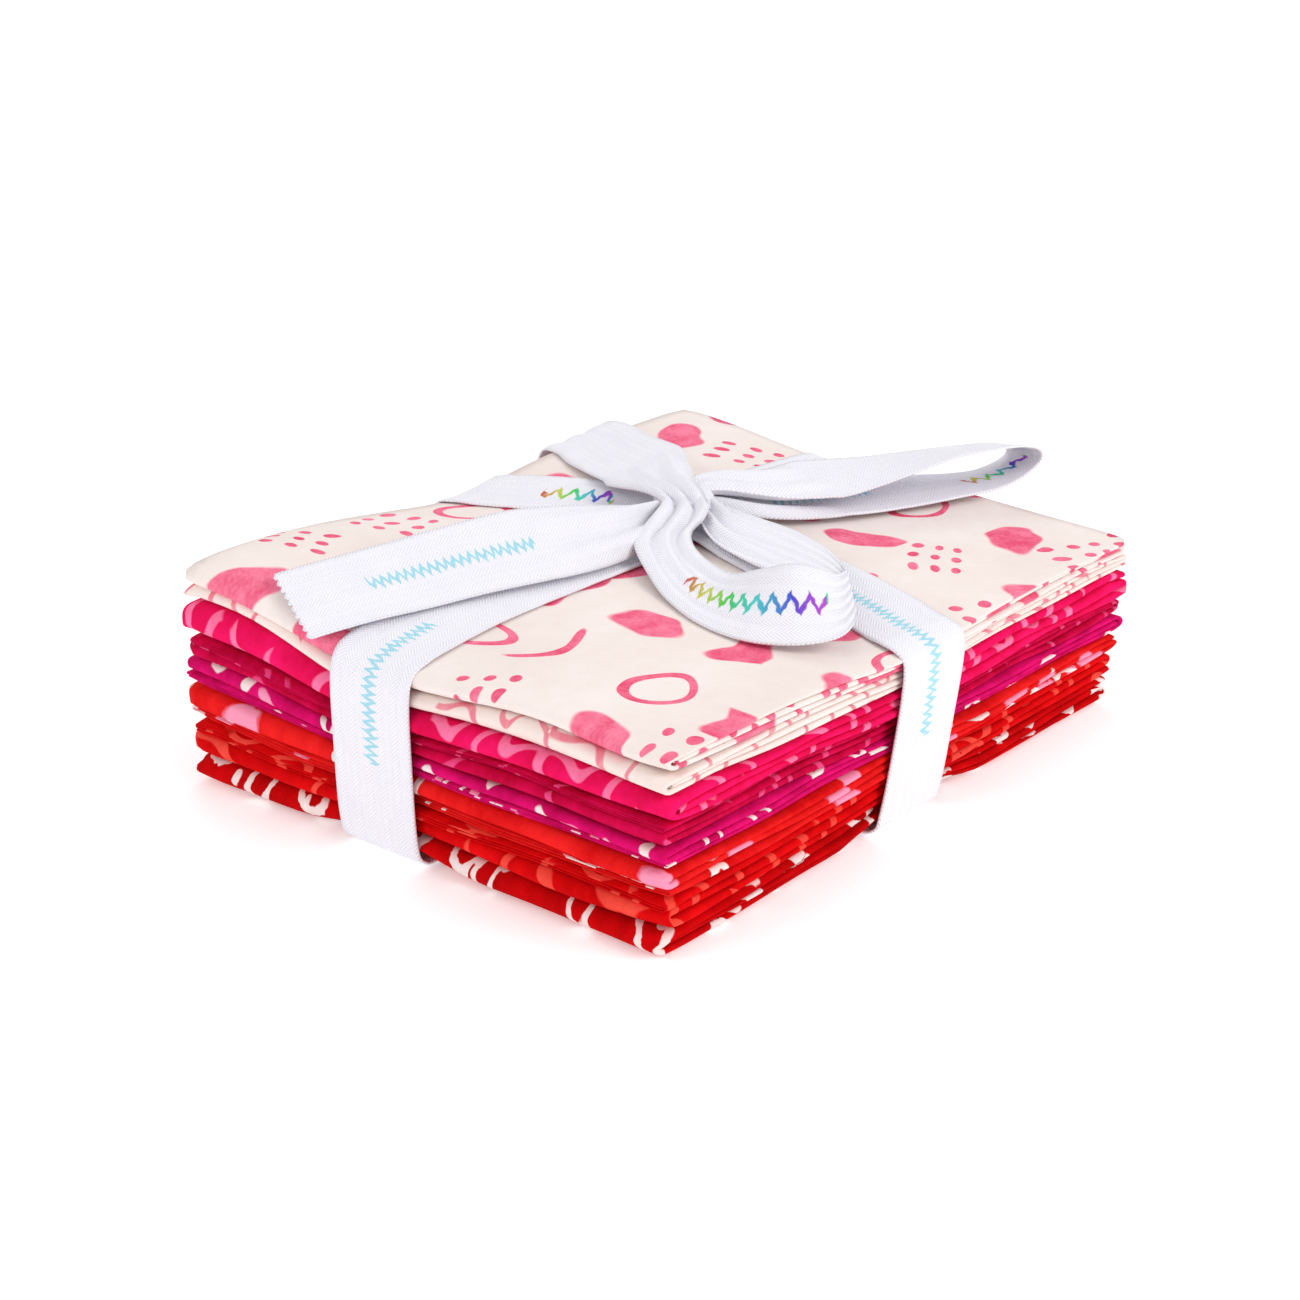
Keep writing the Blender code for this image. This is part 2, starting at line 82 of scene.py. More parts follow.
# How a folded cut ends: how far its turns reach out, the share of its thickness that is pressed away at its
# corners and edges, and the rounding of its corners
FOLD_REACH = 1.35
CORNER_PINCH = 0.22
EDGE_PINCH = 0.05
PINCH_REACH = 10.0
CORNER_RADIUS = 6.0
CORNER_SPREAD = 2.5
CORNER_STEP = 2.3
CORNER_OUTSIDE = 0.8
CORNER_DRAW = 0.85
SIDE_SET_BACK = 0.6

# The cloth's unevenness: the height and length of its waves, and the number that its seeds count from
Uneven = namedtuple("Uneven", "height length seed")
BETWEEN_CUTS = Uneven(0.42, 52.0, 40)
ALONG_TURNS = Uneven(0.75, 60.0, 10)
ALONG_SIDES = Uneven(0.7, 60.0, 30)
OVER_SURFACE = Uneven(0.10, 24.0, 70)
TURN_INSET = 0.4
SIDE_REACH = 30.0
SIDE_STEP = 14.0
SWELL_WAVES = 6
SWELL_SCALE = 3.2

# Which level of the pile each third of a cut lies on, counted from the bottom, in the order of its length.
# A letter fold wraps its first third inside the other two.
ZIGZAG = (0, 1, 2)
LETTER_UP = (1, 0, 2)
LETTER_DOWN = (1, 2, 0)

Quarter = namedtuple(
    "Quarter",
    "name near left right back first_turn levels x0_near x0_left x1_right x1_back y0 y1 set_back flip slot")
QUARTERS = (
    Quarter("fat_quarter_1", 4.6, 5.0, 3.6, 6.0, "right", LETTER_UP,
            -0.6, 0.4, 0.6, 0.8, 0.2, -1.8, 0.8, 1, "cotton_cream_large"),
    Quarter("fat_quarter_2", 5.8, 4.8, 3.6, 6.0, "right", LETTER_DOWN,
            0.6, -0.6, 0.2, 0.4, 0.0, -0.6, 1.6, 1, "cotton_cream_loops"),
    Quarter("fat_quarter_3", 6.2, 8.4, 8.6, 6.2, "right", LETTER_UP,
            0.9, 1.2, 0.8, 0.2, 0.6, 0.6, 3.4, -1, "cotton_hot_pink"),
    Quarter("fat_quarter_4", 6.0, 4.8, 4.6, 6.0, "left", LETTER_UP,
            -0.2, 1.0, -0.8, -0.4, -1.4, 0.2, 0.6, 1, "cotton_raspberry"),
    Quarter("fat_quarter_5", 4.6, 6.3, 4.6, 6.0, "left", LETTER_DOWN,
            0.4, 0.6, -0.4, 0.0, -0.8, -0.4, 1.4, -1, "cotton_magenta"),
    Quarter("fat_quarter_6", 6.9, 10.6, 5.0, 6.4, "right", ZIGZAG,
            1.4, 1.8, -2.2, -1.2, 0.2, 0.4, 2.6, 1, "cotton_coral"),
    Quarter("fat_quarter_7", 8.2, 8.2, 6.8, 6.4, "left", ZIGZAG,
            0.2, 1.6, -3.4, -2.0, -0.8, -0.8, 0.9, -1, "cotton_red"),
    Quarter("fat_quarter_8", 6.5, 7.6, 6.4, 6.0, "right", LETTER_UP,
            1.0, 0.6, -4.2, -2.4, -1.6, -2.0, 1.6, 1, "cotton_dark_red"),
)

# Where the ribbon goes round the stack, and the share of the height that it presses away at each edge
WRAP_LONG_Y = 9.0
WRAP_LONG_TOP_Y = 13.0
WRAP_CROSS_X = -0.5
PRESS_WIDTH = 29.0
PRESS_LEFT = 0.11
PRESS_RIGHT = 0.07
PRESS_NEAR = 0.065
PRESS_FAR = 0.09
PRESS_REACH = 30.0

# The room for the ribbon under the stack, and how far the ribbon pulls the bottom edges up
UNDER_HALF = 14.0
UNDER_CROSS_HALF = 18.5
UNDER_RAMP = 9.0
EDGE_LIFT = 2.2
LIFT_HALF = 34.0
EDGE_LIFT_REACH = 16.0

# The puff of loosely folded cloth by the left corner, most of which fades out at the edges
PUFF_X = -76.0
PUFF_Y = 62.0
PUFF_RISE = 4.6
PUFF_REACH = 46.0
PUFF_FADE = 0.9
SHOULDER = 5.0

# The ribbon: the solids' thickness and seat, then its own width and thickness, its lanes and ribs, the depth
# of its pinked teeth, and the places across it
RIBBON_THICK = 1.0
RIBBON_SEAT = 0.35
RIBBON_WIDTH = 24.5
TAPE_THICK = 0.55
LANE = 2.2
RIB = 0.98
PINK_DEPTH = 0.8
TAPE_COLUMNS = 21

# Gathers: the most that is counted, and the share of a full sine wave's height that they stand
MOST_GATHERED = 1.6
GATHER_HEIGHT = 0.85

# How far the cross wrap stands off the long wrap over the stack, and how many times that under it
OVER_LONG = 0.75
UNDER_LONG = 1.8

# The draping of the wraps: the box that they are pushed away from, how far outside the rays start, the gap
# kept to the cloth, how far the softened tape may press into that gap, and the rounds of each kind
CORE_X = 74.0
CORE_Y = 54.0
CORE_Z = 24.0
RAY_START = 9.0
TAPE_GAP = 0.15
PRESSED_IN = 0.12
BRIDGE_ROUNDS = 60
SOFTEN_ROUNDS = 6

# The lump inside the knot
KNOT_CENTRE = (19.4, 11.8, 55.0)
KNOT_HALF = (7.6, 6.4, 2.8)
KNOT_HEADING = -67.0
KNOT_SQUARENESS = 0.8
KNOT_ROUND = 64
KNOT_LONG = 40
KNOT_GROOVES = 7
KNOT_GROOVE_DEPTH = 0.07
KNOT_GROOVE_TWIST = 1.5
KNOT_TAPE = 0.016

# Finishes. Threads and bumps are in metres, and what is drawn on the cloth is in millimetres.
COTTON_ROUGHNESS = 0.95
RIBBON_ROUGHNESS = 0.8
CLOTH_SPECULAR = 0.04
THREAD_ALONG = 0.00046
THREAD_ACROSS = 0.00052
WEAVE_STRENGTH = 0.35
WEAVE_HEIGHT = 0.00012
TWILL_STRENGTH = 0.6
TWILL_HEIGHT = 0.00024
FULL_TURN = 6.283
DYE_CONTRAST = 2.4
DYE_OFFSET = (3.0, 7.0, 0.0)
SLOPE_STEP = 0.6
LINE_SOFTNESS = 0.16
DOT_PITCH_X = 7.2
DOT_PITCH_Y = 6.2
AQUA = (0.22, 0.66, 0.80)

# The photograph's frame and its camera: pixels, then metres and degrees
PHOTO_SIDE = 1300.0
PHOTO_FOCAL = 2800.0
SENSOR = 36.0
CAMERA_PLACE = (-0.505, -0.4043, 0.2926)
CAMERA_YAW = 39.17
CAMERA_PITCH = 22.63

# The floor's reach and height in metres, and the strengths of its glow and of the world, lit and seen
FLOOR_REACH = 6.0
FLOOR_HEIGHT = -0.0004
FLOOR_GLOW = 0.30
WORLD_LIGHT = 0.70
WORLD_SEEN = 1.0
LAMP_AIM = (0.0, 0.0, 0.03)


def corner_mix(quarter, x, y):
    """A fat quarter's thickness: its four corner values blended straight along X and along Y."""
    u = x / STACK_LENGTH + 0.5
    v = y / STACK_DEPTH + 0.5
    near_side = quarter.near * (1 - u) + quarter.right * u
    far_side = quarter.left * (1 - u) + quarter.back * u
    return near_side * (1 - v) + far_side * v


def falloff(distance, reach):
    """One at zero distance and nothing at the reach: the square of 1 minus the squared share of the reach."""
    t = np.clip(np.abs(distance) / reach, 0.0, 1.0)
    return (1 - t * t) ** 2


def plateau(distance, half, ramp):
    """One inside the half width, falling straight to nothing over the ramp beyond it."""
    return 1 - np.clip((np.abs(distance) - half) / ramp, 0.0, 1.0)


def squeeze(x, y):
    """What is left of the stack's height where the ribbon presses.

    One minus a share at each edge, which fades exponentially inward and as a bell curve to the ribbon's sides.
    """
    left = PRESS_LEFT * np.exp(-(x + STACK_LENGTH / 2) / PRESS_REACH)
    right = PRESS_RIGHT * np.exp((x - STACK_LENGTH / 2) / PRESS_REACH)
    near = PRESS_NEAR * np.exp(-(y + STACK_DEPTH / 2) / PRESS_REACH)
    far = PRESS_FAR * np.exp((y - STACK_DEPTH / 2) / PRESS_REACH)
    under_long = np.exp(-((y - WRAP_LONG_TOP_Y) / PRESS_WIDTH) ** 2)
    under_cross = np.exp(-((x - WRAP_CROSS_X) / PRESS_WIDTH) ** 2)
    return 1 - (left + right) * under_long - (near + far) * under_cross


def lift(x, y):
    """How far the ribbon pulls the stack's bottom edges up: two bumps, each a product of two falloffs."""
    from_x_edge = STACK_LENGTH / 2 - np.abs(x)
    from_y_edge = STACK_DEPTH / 2 - np.abs(y)
    long_part = falloff(y - WRAP_LONG_Y, LIFT_HALF) * falloff(np.maximum(from_x_edge, 0), EDGE_LIFT_REACH)
    cross_part = falloff(x - WRAP_CROSS_X, LIFT_HALF) * falloff(np.maximum(from_y_edge, 0), EDGE_LIFT_REACH)
    return EDGE_LIFT * (long_part + cross_part)


def recess(x, y):
    """Room under the lowest fat quarter for the two ribbon runs: a plateau along each, added up."""
    runs = plateau(y - WRAP_LONG_Y, UNDER_HALF, UNDER_RAMP)
    runs = runs + plateau(x - WRAP_CROSS_X, UNDER_CROSS_HALF, UNDER_RAMP)
    return (RIBBON_THICK + RIBBON_SEAT) * runs


def swell(x, y, seed, size):
    """A gentle unevenness between about -1 and 1: a sum of sine waves across the cloth in seeded directions."""
    rng = np.random.default_rng(seed)
    total = 0.0
    for _ in range(SWELL_WAVES):
        turn, shift = rng.uniform(0, 2 * math.pi, 2)
        length = size * rng.uniform(0.7, 1.6)
        total = total + np.sin((x * math.cos(turn) + y * math.sin(turn)) * 2 * math.pi / length + shift)
    return total / SWELL_SCALE


def level(index, x, y):
    """Height of the underside of a fat quarter, counted from the top, or of the stack's top at -1.

    It is the sum of the thicknesses below it, pressed by the ribbon and raised by the puff in the same share
    of the whole height, and a little uneven. The puff fades exponentially towards the edges.
    """
    below = sum(corner_mix(q, x, y) for q in QUARTERS[index + 1:])
    total = below + sum(corner_mix(q, x, y) for q in QUARTERS[:index + 1])
    raised = lift(x, y)
    inward = np.maximum(np.minimum(STACK_LENGTH / 2 - np.abs(x), STACK_DEPTH / 2 - np.abs(y)), 0)
    puff = PUFF_RISE * falloff(x - PUFF_X, PUFF_REACH) * falloff(y - PUFF_Y, PUFF_REACH)
    puff = puff * (1 - PUFF_FADE * np.exp(-inward / SHOULDER))
    height = raised + (total * squeeze(x, y) + puff - raised) * below / total
    if 0 <= index < len(QUARTERS) - 1:
        height = height + BETWEEN_CUTS.height * swell(x, y, BETWEEN_CUTS.seed + index, BETWEEN_CUTS.length)
    return height


def round_corners(x, y, radius):
    """Draw in what lies beyond a quarter circle at each corner of the stack, along the line to its centre."""
    over_x = np.maximum(np.abs(x) - (STACK_LENGTH / 2 + CORNER_OUTSIDE - radius), 0)
    over_y = np.maximum(np.abs(y) - (STACK_DEPTH / 2 + CORNER_OUTSIDE - radius), 0)
    reach = np.hypot(over_x, over_y)
    beyond = np.maximum(reach - radius, 0) * CORNER_DRAW / np.maximum(reach, 1e-6)
    return x - np.sign(x) * over_x * beyond, y - np.sign(y) * over_y * beyond


def pinch(x, y):
    """How much thinner a folded cut is at the stack's corners and along its edges, from two falloffs."""
    by_x = falloff(np.maximum(STACK_LENGTH / 2 - np.abs(x), 0), PINCH_REACH)
    by_y = falloff(np.maximum(STACK_DEPTH / 2 - np.abs(y), 0), PINCH_REACH)
    return CORNER_PINCH * by_x * by_y + EDGE_PINCH * np.maximum(by_x, by_y)


def cloth_layers(quarter, index):
    """Flat places and folded places of one cut of cloth, over a grid of its length by its width.

    The cut is folded in thirds along Y as a letter is, then the three layers together in thirds along X, as a
    letter or back and forth. A place along the length gives a point on the strips' middle line: straight runs
    joined by half circles whose radius is half the difference of the runs' heights, stretched outward. A place
    along the width gives y and an offset from that line in the same way, laid off at a right angle to it. The
    height in the cut, as a share of its thickness, is then a share of the way from its underside to its top.
    """
    mean = (quarter.near + quarter.left + quarter.right + quarter.back) / 4
    pitch = (mean - PIECE_GAP - STRIP_GAP * (STRIPS - 1)) / (STRIPS * LAYERS)
    strip = pitch * LAYERS

    def run_and_turn(steps, turn_steps):
        """Sections of the folded line: which run, how far along it, and the angle in a turn."""
        sections = []
        for i in range(3):
            share = np.linspace(0, 1, steps)
            crowd = 0.5 - 0.5 * np.cos(np.pi * share)
            share = share * (1 - CROWDING) + crowd * CROWDING
            sections.append(np.stack([np.full(steps, i), share, np.full(steps, -1.0)], axis=1))
            if i < 2:
                angle = np.linspace(0, np.pi, turn_steps + 2)[1:-1]
                sections.append(np.stack([np.full(turn_steps, i), np.ones(turn_steps), angle], axis=1))
        return np.concatenate(sections)

    along = run_and_turn(RUN_PLACES, TURN_PLACES)
    across = run_and_turn(SIDE_RUN_PLACES, SIDE_TURN_PLACES)

    # Across: y and the offset from the strip's middle
    run_v, share_v, angle_v = across.T
    levels_v = np.array(LETTER_UP, dtype=float)
    rise_v = np.append(np.diff(levels_v), 1.0)
    radius_v = np.abs(rise_v) * pitch / 2
    y_low = -STACK_DEPTH / 2 - quarter.y0
    y_high = STACK_DEPTH / 2 + quarter.y1
    turn_high = y_high - radius_v[0]
    turn_low = y_low + radius_v[1]
    starts_v = np.array([turn_low, turn_high, turn_low])
    ends_v = np.array([turn_high, turn_low, y_high - quarter.set_back * SIDE_SET_BACK])
    rv = run_v.astype(int)
    turning = angle_v >= 0
    arm_v = radius_v[rv] * np.sin(np.where(turning, angle_v, 0))
    y = starts_v[rv] + (ends_v - starts_v)[rv] * share_v + np.where(run_v % 2 == 0, arm_v, -arm_v)
    offset = (levels_v[rv] - 1) * pitch
    offset = offset + np.where(turning, np.sign(rise_v)[rv] * radius_v[rv] * (1 - np.cos(angle_v)), 0)

    # Along: the middle line of the strips
    run_u, share_u, angle_u = along.T
    forward_u = (run_u % 2 == 0)[:, None]
    turning_u = (angle_u >= 0)[:, None]
    spacing = strip + STRIP_GAP
    levels = np.array(quarter.levels, dtype=float)
    rise = np.append(np.diff(levels), 1.0)
    outer = (np.abs(rise) * spacing / 2 + strip / 2) * FOLD_REACH
    yy = y[None, :]
    v = yy / STACK_DEPTH + 0.5
    edges = {
        -1: -STACK_LENGTH / 2 - (quarter.x0_near * (1 - v) + quarter.x0_left * v),
        1: STACK_LENGTH / 2 + (quarter.x1_right * (1 - v) + quarter.x1_back * v),
    }
    first = 1 if quarter.first_turn == "right" else -1
    wobble = [ALONG_TURNS.height * swell(yy, yy * 0, ALONG_TURNS.seed * index + k, ALONG_TURNS.length)
              - TURN_INSET for k in range(4)]
    turn_a = edges[first] - first * outer[0] + first * wobble[0]
    turn_b = edges[-first] + first * outer[1] - first * wobble[1]
    inside = outer[1] if quarter.levels[0] == 1 else quarter.set_back - wobble[2]
    free_a = edges[-first] + first * inside
    free_b = edges[first] - first * (quarter.set_back - wobble[3])
    starts = [free_a, turn_a, turn_b]
    ends = [turn_a, turn_b, free_b]
    ru = run_u[:, None]
    run = run_u.astype(int)[:, None]
    start = np.select([ru == 0, ru == 1, ru == 2], starts)
    end = np.select([ru == 0, ru == 1, ru == 2], ends)
    x_line = start + (end - start) * share_u[:, None]
    h_line = PIECE_GAP / 2 + strip / 2 + spacing * levels[run]
    radius = np.abs(rise)[run] * spacing / 2
    upward = np.sign(rise)[run]
    shift = np.where(forward_u, offset[None, :], -offset[None, :]) * quarter.flip
    angle = angle_u[:, None]
    arm = radius - upward * shift
    x_turn = end + np.where(forward_u, first, -first) * arm * FOLD_REACH * np.sin(angle)
    h_turn = h_line + upward * (radius - arm * np.cos(angle))
    x = np.where(turning_u, x_turn, x_line)
    h = np.where(turning_u, h_turn, h_line + shift)
    beside = falloff(STACK_DEPTH / 2 - np.abs(yy), SIDE_REACH)
    sway = swell(x, h * SIDE_STEP, ALONG_SIDES.seed + index, ALONG_SIDES.length)
    grid_y = yy + ALONG_SIDES.height * beside * sway
    x, grid_y = round_corners(x, grid_y, CORNER_RADIUS + CORNER_SPREAD * math.sin(CORNER_STEP * index + 1.0))
    share = 0.5 + (h / mean - 0.5) * (1 - pinch(x, grid_y))
    low_face = level(index, x, grid_y)
    high_face = level(index - 1, x, grid_y)
    if index == len(QUARTERS) - 1:
        low_face = low_face + recess(x, grid_y)
    z = low_face + (high_face - low_face) * share
    dents = swell(x, grid_y, OVER_SURFACE.seed + index, OVER_SURFACE.length)
    z = z + OVER_SURFACE.height * dents * np.sin(np.pi * np.clip(share, 0, 1))
    points = np.stack([x, grid_y, z], axis=-1)

    def flat_places(line_points, length):
        """Distance along a folded line, scaled to the length of the cut."""
        steps = np.linalg.norm(np.diff(line_points, axis=0), axis=1)
        places = np.concatenate([[0], np.cumsum(steps)])
        return places / places[-1] * length

    first_third = points.shape[1] // 6
    u_flat = flat_places(points[:, first_third], FLAT_CUT[1])
    v_flat = flat_places(np.stack([y, offset], axis=1), FLAT_CUT[0])
    uv = np.stack(np.meshgrid(u_flat, v_flat, indexing="ij"), axis=-1)
    return points, uv


def weave_mesh(name, points, uv, closed=False):
    """A smooth mesh over a grid of points in millimetres, with its cloth map: a quad between each four points.

    A closed grid joins its last row to its first, and its map runs on past the join.
    """
    rows, columns, _ = points.shape
    index = np.arange(rows * columns).reshape(rows, columns)
    if closed:
        index = np.concatenate([index, index[:1]])
    quads = np.stack([index[:-1, :-1], index[1:, :-1], index[1:, 1:], index[:-1, 1:]], axis=-1).reshape(-1, 4)
    uv_index = np.arange(uv.shape[0] * columns).reshape(uv.shape[0], columns)
    uv_quads = np.stack([uv_index[:-1, :-1], uv_index[1:, :-1], uv_index[1:, 1:], uv_index[:-1, 1:]],
                        axis=-1).reshape(-1, 4)
    mesh = bpy.data.meshes.new(name)
    mesh.vertices.add(rows * columns)
    mesh.vertices.foreach_set("co", (points.reshape(-1, 3) * MM).astype(np.float32).ravel())
    mesh.loops.add(quads.size)
    mesh.loops.foreach_set("vertex_index", quads.ravel().astype(np.int32))
    mesh.polygons.add(len(quads))
    mesh.polygons.foreach_set("loop_start", np.arange(0, quads.size, 4, dtype=np.int32))
    mesh.update(calc_edges=True)
    cloth_map = mesh.uv_layers.new(name="cloth")
    cloth_map.data.foreach_set("uv", uv.reshape(-1, 2)[uv_quads.ravel()].astype(np.float32).ravel())
    mesh.shade_smooth()
    piece = bpy.data.objects.new(name, mesh)
    bpy.context.scene.collection.objects.link(piece)
    return piece


def thicken(piece, thickness):
    """Give a sheet its thickness, half to each side."""
    solidify = piece.modifiers.new("thickness", "SOLIDIFY")
    solidify.thickness = thickness * MM
    solidify.offset = 0.0
    solidify.use_even_offset = False


def fold_quarters(finishes):
    """Make the eight folded cuts of cloth and stand them for their solids."""
    for index, quarter in enumerate(QUARTERS):
        points, uv = cloth_layers(quarter, index)
        piece = weave_mesh("folded_" + quarter.name, points, uv)
        thicken(piece, CLOTH_THICK)
        piece.data.materials.append(finishes[quarter.slot])
        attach(piece, "root")
        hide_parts(quarter.name)


# Rows along each run of the ribbon, in millimetres and degrees. x y z is the middle of its width. on_top is
# 1 where z counts from the stack's top and 0 where it counts from the surface below. heading and tilt turn
# its width from +X towards +Y and up. width is what is left of it where it is gathered into the knot.
Row = namedtuple("Row", "x y z on_top heading tilt width")
WRAP_LONG = (
    Row(24.0, 14.0, 0.6, 1, 90, 0, 21.0),
    Row(0.0, 12.5, 0.5, 1, 90, 0, 24.0),
    Row(-30.0, 12.2, 0.5, 1, 90, 0, 24.5),
    Row(-60.0, 12.5, 0.5, 1, 90, 0, 24.5),
    Row(-80.0, 11.8, 0.5, 1, 90, 0, 24.5),
    Row(-88.6, 11.2, 0.3, 1, 90, 0, 24.5),
    Row(-93.8, 10.8, -1.2, 1, 90, 0, 24.5),
    Row(-96.0, 10.5, 41.2, 0, 90, 0, 24.5),
    Row(-96.6, 9.8, 26.0, 0, 90, 0, 24.5),
    Row(-96.3, 9.2, 8.0, 0, 90, 0, 24.5),
    Row(-94.0, 9.0, 1.5, 0, 90, 0, 24.5),
    Row(-85.0, 9.0, 0.5, 0, 90, 0, 24.5),
    Row(-45.0, 9.0, 0.5, 0, 90, 0, 24.5),
    Row(0.0, 9.0, 0.5, 0, 90, 0, 24.5),
    Row(45.0, 9.0, 0.5, 0, 90, 0, 24.5),
    Row(84.0, 9.0, 0.5, 0, 90, 0, 24.5),
    Row(92.6, 9.2, 1.6, 0, 90, 0, 24.5),
    Row(96.2, 9.6, 7.0, 0, 90, 0, 24.5),
    Row(97.4, 10.5, 22.0, 0, 90, 0, 24.5),
    Row(96.4, 12.2, 38.0, 0, 90, 0, 24.5),
    Row(94.0, 12.8, -1.2, 1, 90, 0, 24.5),
    Row(89.0, 13.2, 0.3, 1, 90, 0, 24.5),
    Row(82.0, 13.6, 0.5, 1, 90, 0, 24.5),
    Row(55.0, 14.0, 0.5, 1, 90, 0, 24.0),
)
WRAP_CROSS = (
    Row(22.5, 14.0, 0.4, 1, 0, 0, 20.0),
    Row(20.2, -1.5, 0.4, 1, -9, 0, 21.5),
    Row(17.0, -16.0, 0.4, 1, -12, 0, 23.5),
    Row(13.0, -34.0, 0.5, 1, -15, 0, 24.5),
    Row(8.3, -54.0, 0.5, 1, -14, 0, 24.5),
    Row(5.0, -65.0, 0.4, 1, -10, 0, 24.5),
    Row(3.8, -69.5, 0.3, 1, -6, 0, 24.5),
    Row(3.0, -73.8, -1.2, 1, -4, 0, 24.5),
    Row(2.2, -75.7, 37.6, 0, -2, -2, 24.5),
    Row(-0.4, -76.0, 24.0, 0, 0, -7, 24.5),
    Row(-4.0, -75.4, 6.5, 0, 0, -6, 24.5),
    Row(-4.4, -73.2, 1.5, 0, 0, 0, 24.5),
    Row(-4.4, -65.0, 0.5, 0, 0, 0, 24.5),
    Row(-3.5, -40.0, 0.5, 0, 0, 0, 24.5),
    Row(-2.0, -16.0, 0.5, 0, 0, 0, 24.5),
    Row(-1.0, 9.0, 0.5, 0, 0, 0, 24.5),
    Row(0.5, 35.0, 0.5, 0, 0, 0, 24.5),
    Row(2.0, 65.0, 0.5, 0, 0, 0, 24.5),
    Row(2.2, 73.4, 1.6, 0, 0, 0, 24.5),
    Row(2.4, 76.8, 7.0, 0, 0, 0, 24.5),
    Row(2.8, 77.8, 22.0, 0, 2, 0, 24.5),
    Row(3.6, 76.4, 38.0, 0, 4, -2, 24.5),
    Row(4.2, 74.0, -1.4, 1, 7, -2, 24.5),
    Row(5.0, 69.6, 0.2, 1, 10, -1, 24.5),
    Row(6.5, 64.0, 0.4, 1, 14, 0, 24.5),
    Row(11.5, 53.0, 0.4, 1, 20, 0, 24.5),
    Row(18.0, 40.0, 0.4, 1, 20, 0, 23.5),
    Row(21.5, 28.0, 0.4, 1, 10, 0, 21.5),
)
LOOP_RIGHT = (
    Row(23.0, 14.5, 54.2, 0, 48, 5, 9.0),
    Row(31.0, 10.0, 52.9, 0, 50, 5, 12.0),
    Row(39.0, 1.5, 51.4, 0, 58, 5, 18.0),
    Row(55.6, -6.1, 49.5, 0, 67, 4, 24.5),
    Row(72.6, -12.9, 47.9, 0, 69, 2, 24.5),
    Row(89.0, -19.2, 46.5, 0, 67, -4, 24.5),
    Row(99.5, -23.8, 46.0, 0, 66, -8, 24.5),
    Row(107.5, -26.8, 46.8, 0, 63, -13, 24.5),
    Row(113.6, -29.2, 49.5, 0, 58, -16, 24.5),
    Row(113.4, -29.8, 52.8, 0, 54, -17, 24.5),
    Row(107.0, -28.2, 55.2, 0, 54, -16, 24.5),
    Row(97.0, -24.3, 56.0, 0, 58, -15, 24.5),
    Row(86.0, -18.8, 55.9, 0, 64, -13, 24.5),
    Row(74.0, -13.7, 55.2, 0, 68, -7, 24.5),
    Row(62.9, -9.2, 54.9, 0, 69, 0, 24.5),
    Row(53.0, -5.0, 54.9, 0, 69, 5, 24.5),
    Row(42.0, 1.0, 55.2, 0, 62, 9, 19.0),
    Row(32.0, 10.5, 56.4, 0, 50, 10, 12.0),
    Row(25.0, 13.6, 56.2, 0, 46, 10, 9.0),
)
LOOP_FRONT = (
    Row(15.0, 9.0, 56.4, 0, -50, 0, 10.0),
    Row(11.0, 5.4, 56.3, 0, -50, 0, 12.5),
    Row(4.4, 2.8, 55.2, 0, -32, -2, 15.5),
    Row(-2.6, 0.8, 53.4, 0, -10, -6, 18.5),
    Row(-8.2, -5.6, 51.4, 0, 4, -3, 20.5),
    Row(-14.6, -16.2, 50.2, 0, 12, 2, 23.5),
    Row(-20.6, -29.5, 50.6, 0, 18, 8, 24.5),
    Row(-23.2, -43.1, 53.2, 0, 26, 22, 24.5),
    Row(-20.8, -51.6, 54.7, 0, 34, 28, 24.5),
    Row(-16.2, -56.5, 54.3, 0, 39, 22, 24.5),
    Row(-11.0, -58.3, 53.4, 0, 41, 13, 24.5),
    Row(-5.0, -56.8, 53.2, 0, 42, 6, 24.5),
    Row(1.5, -52.4, 52.2, 0, 40, 0, 24.5),
    Row(7.5, -45.5, 51.0, 0, 36, -3, 24.5),
    Row(11.6, -36.5, 50.7, 0, 28, -1, 24.5),
    Row(13.4, -24.0, 51.2, 0, 23, 4, 24.5),
    Row(14.2, -14.5, 51.8, 0, 24, 6, 23.0),
    Row(15.2, -5.0, 52.9, 0, 20, 9, 18.0),
    Row(18.5, 2.5, 54.2, 0, 8, 6, 12.0),
    Row(21.5, 8.0, 54.8, 0, 0, 0, 9.0),
)
TAIL_LEFT = (
    Row(15.0, 12.0, 54.0, 0, 80, 6, 9.0),
    Row(9.0, 11.0, 54.4, 0, 78, 14, 12.0),
    Row(-1.0, 9.6, 55.6, 0, 76, 24, 15.0),
    Row(-10.4, 9.0, 56.6, 0, 75, 28, 18.0),
    Row(-21.5, 11.6, 57.2, 0, 73, 26, 22.5),
    Row(-34.5, 15.6, 57.5, 0, 73, 25, 24.5),
    Row(-51.0, 21.6, 57.0, 0, 73, 22, 24.5),
    Row(-66.0, 27.2, 56.0, 0, 72, 20, 24.5),
    Row(-78.0, 30.8, 55.8, 0, 70, 18, 24.5),
    Row(-86.6, 34.0, 55.2, 0, 67, 18, 24.5),
    Row(-93.6, 37.2, 54.2, 0, 66, 18, 24.5),
)
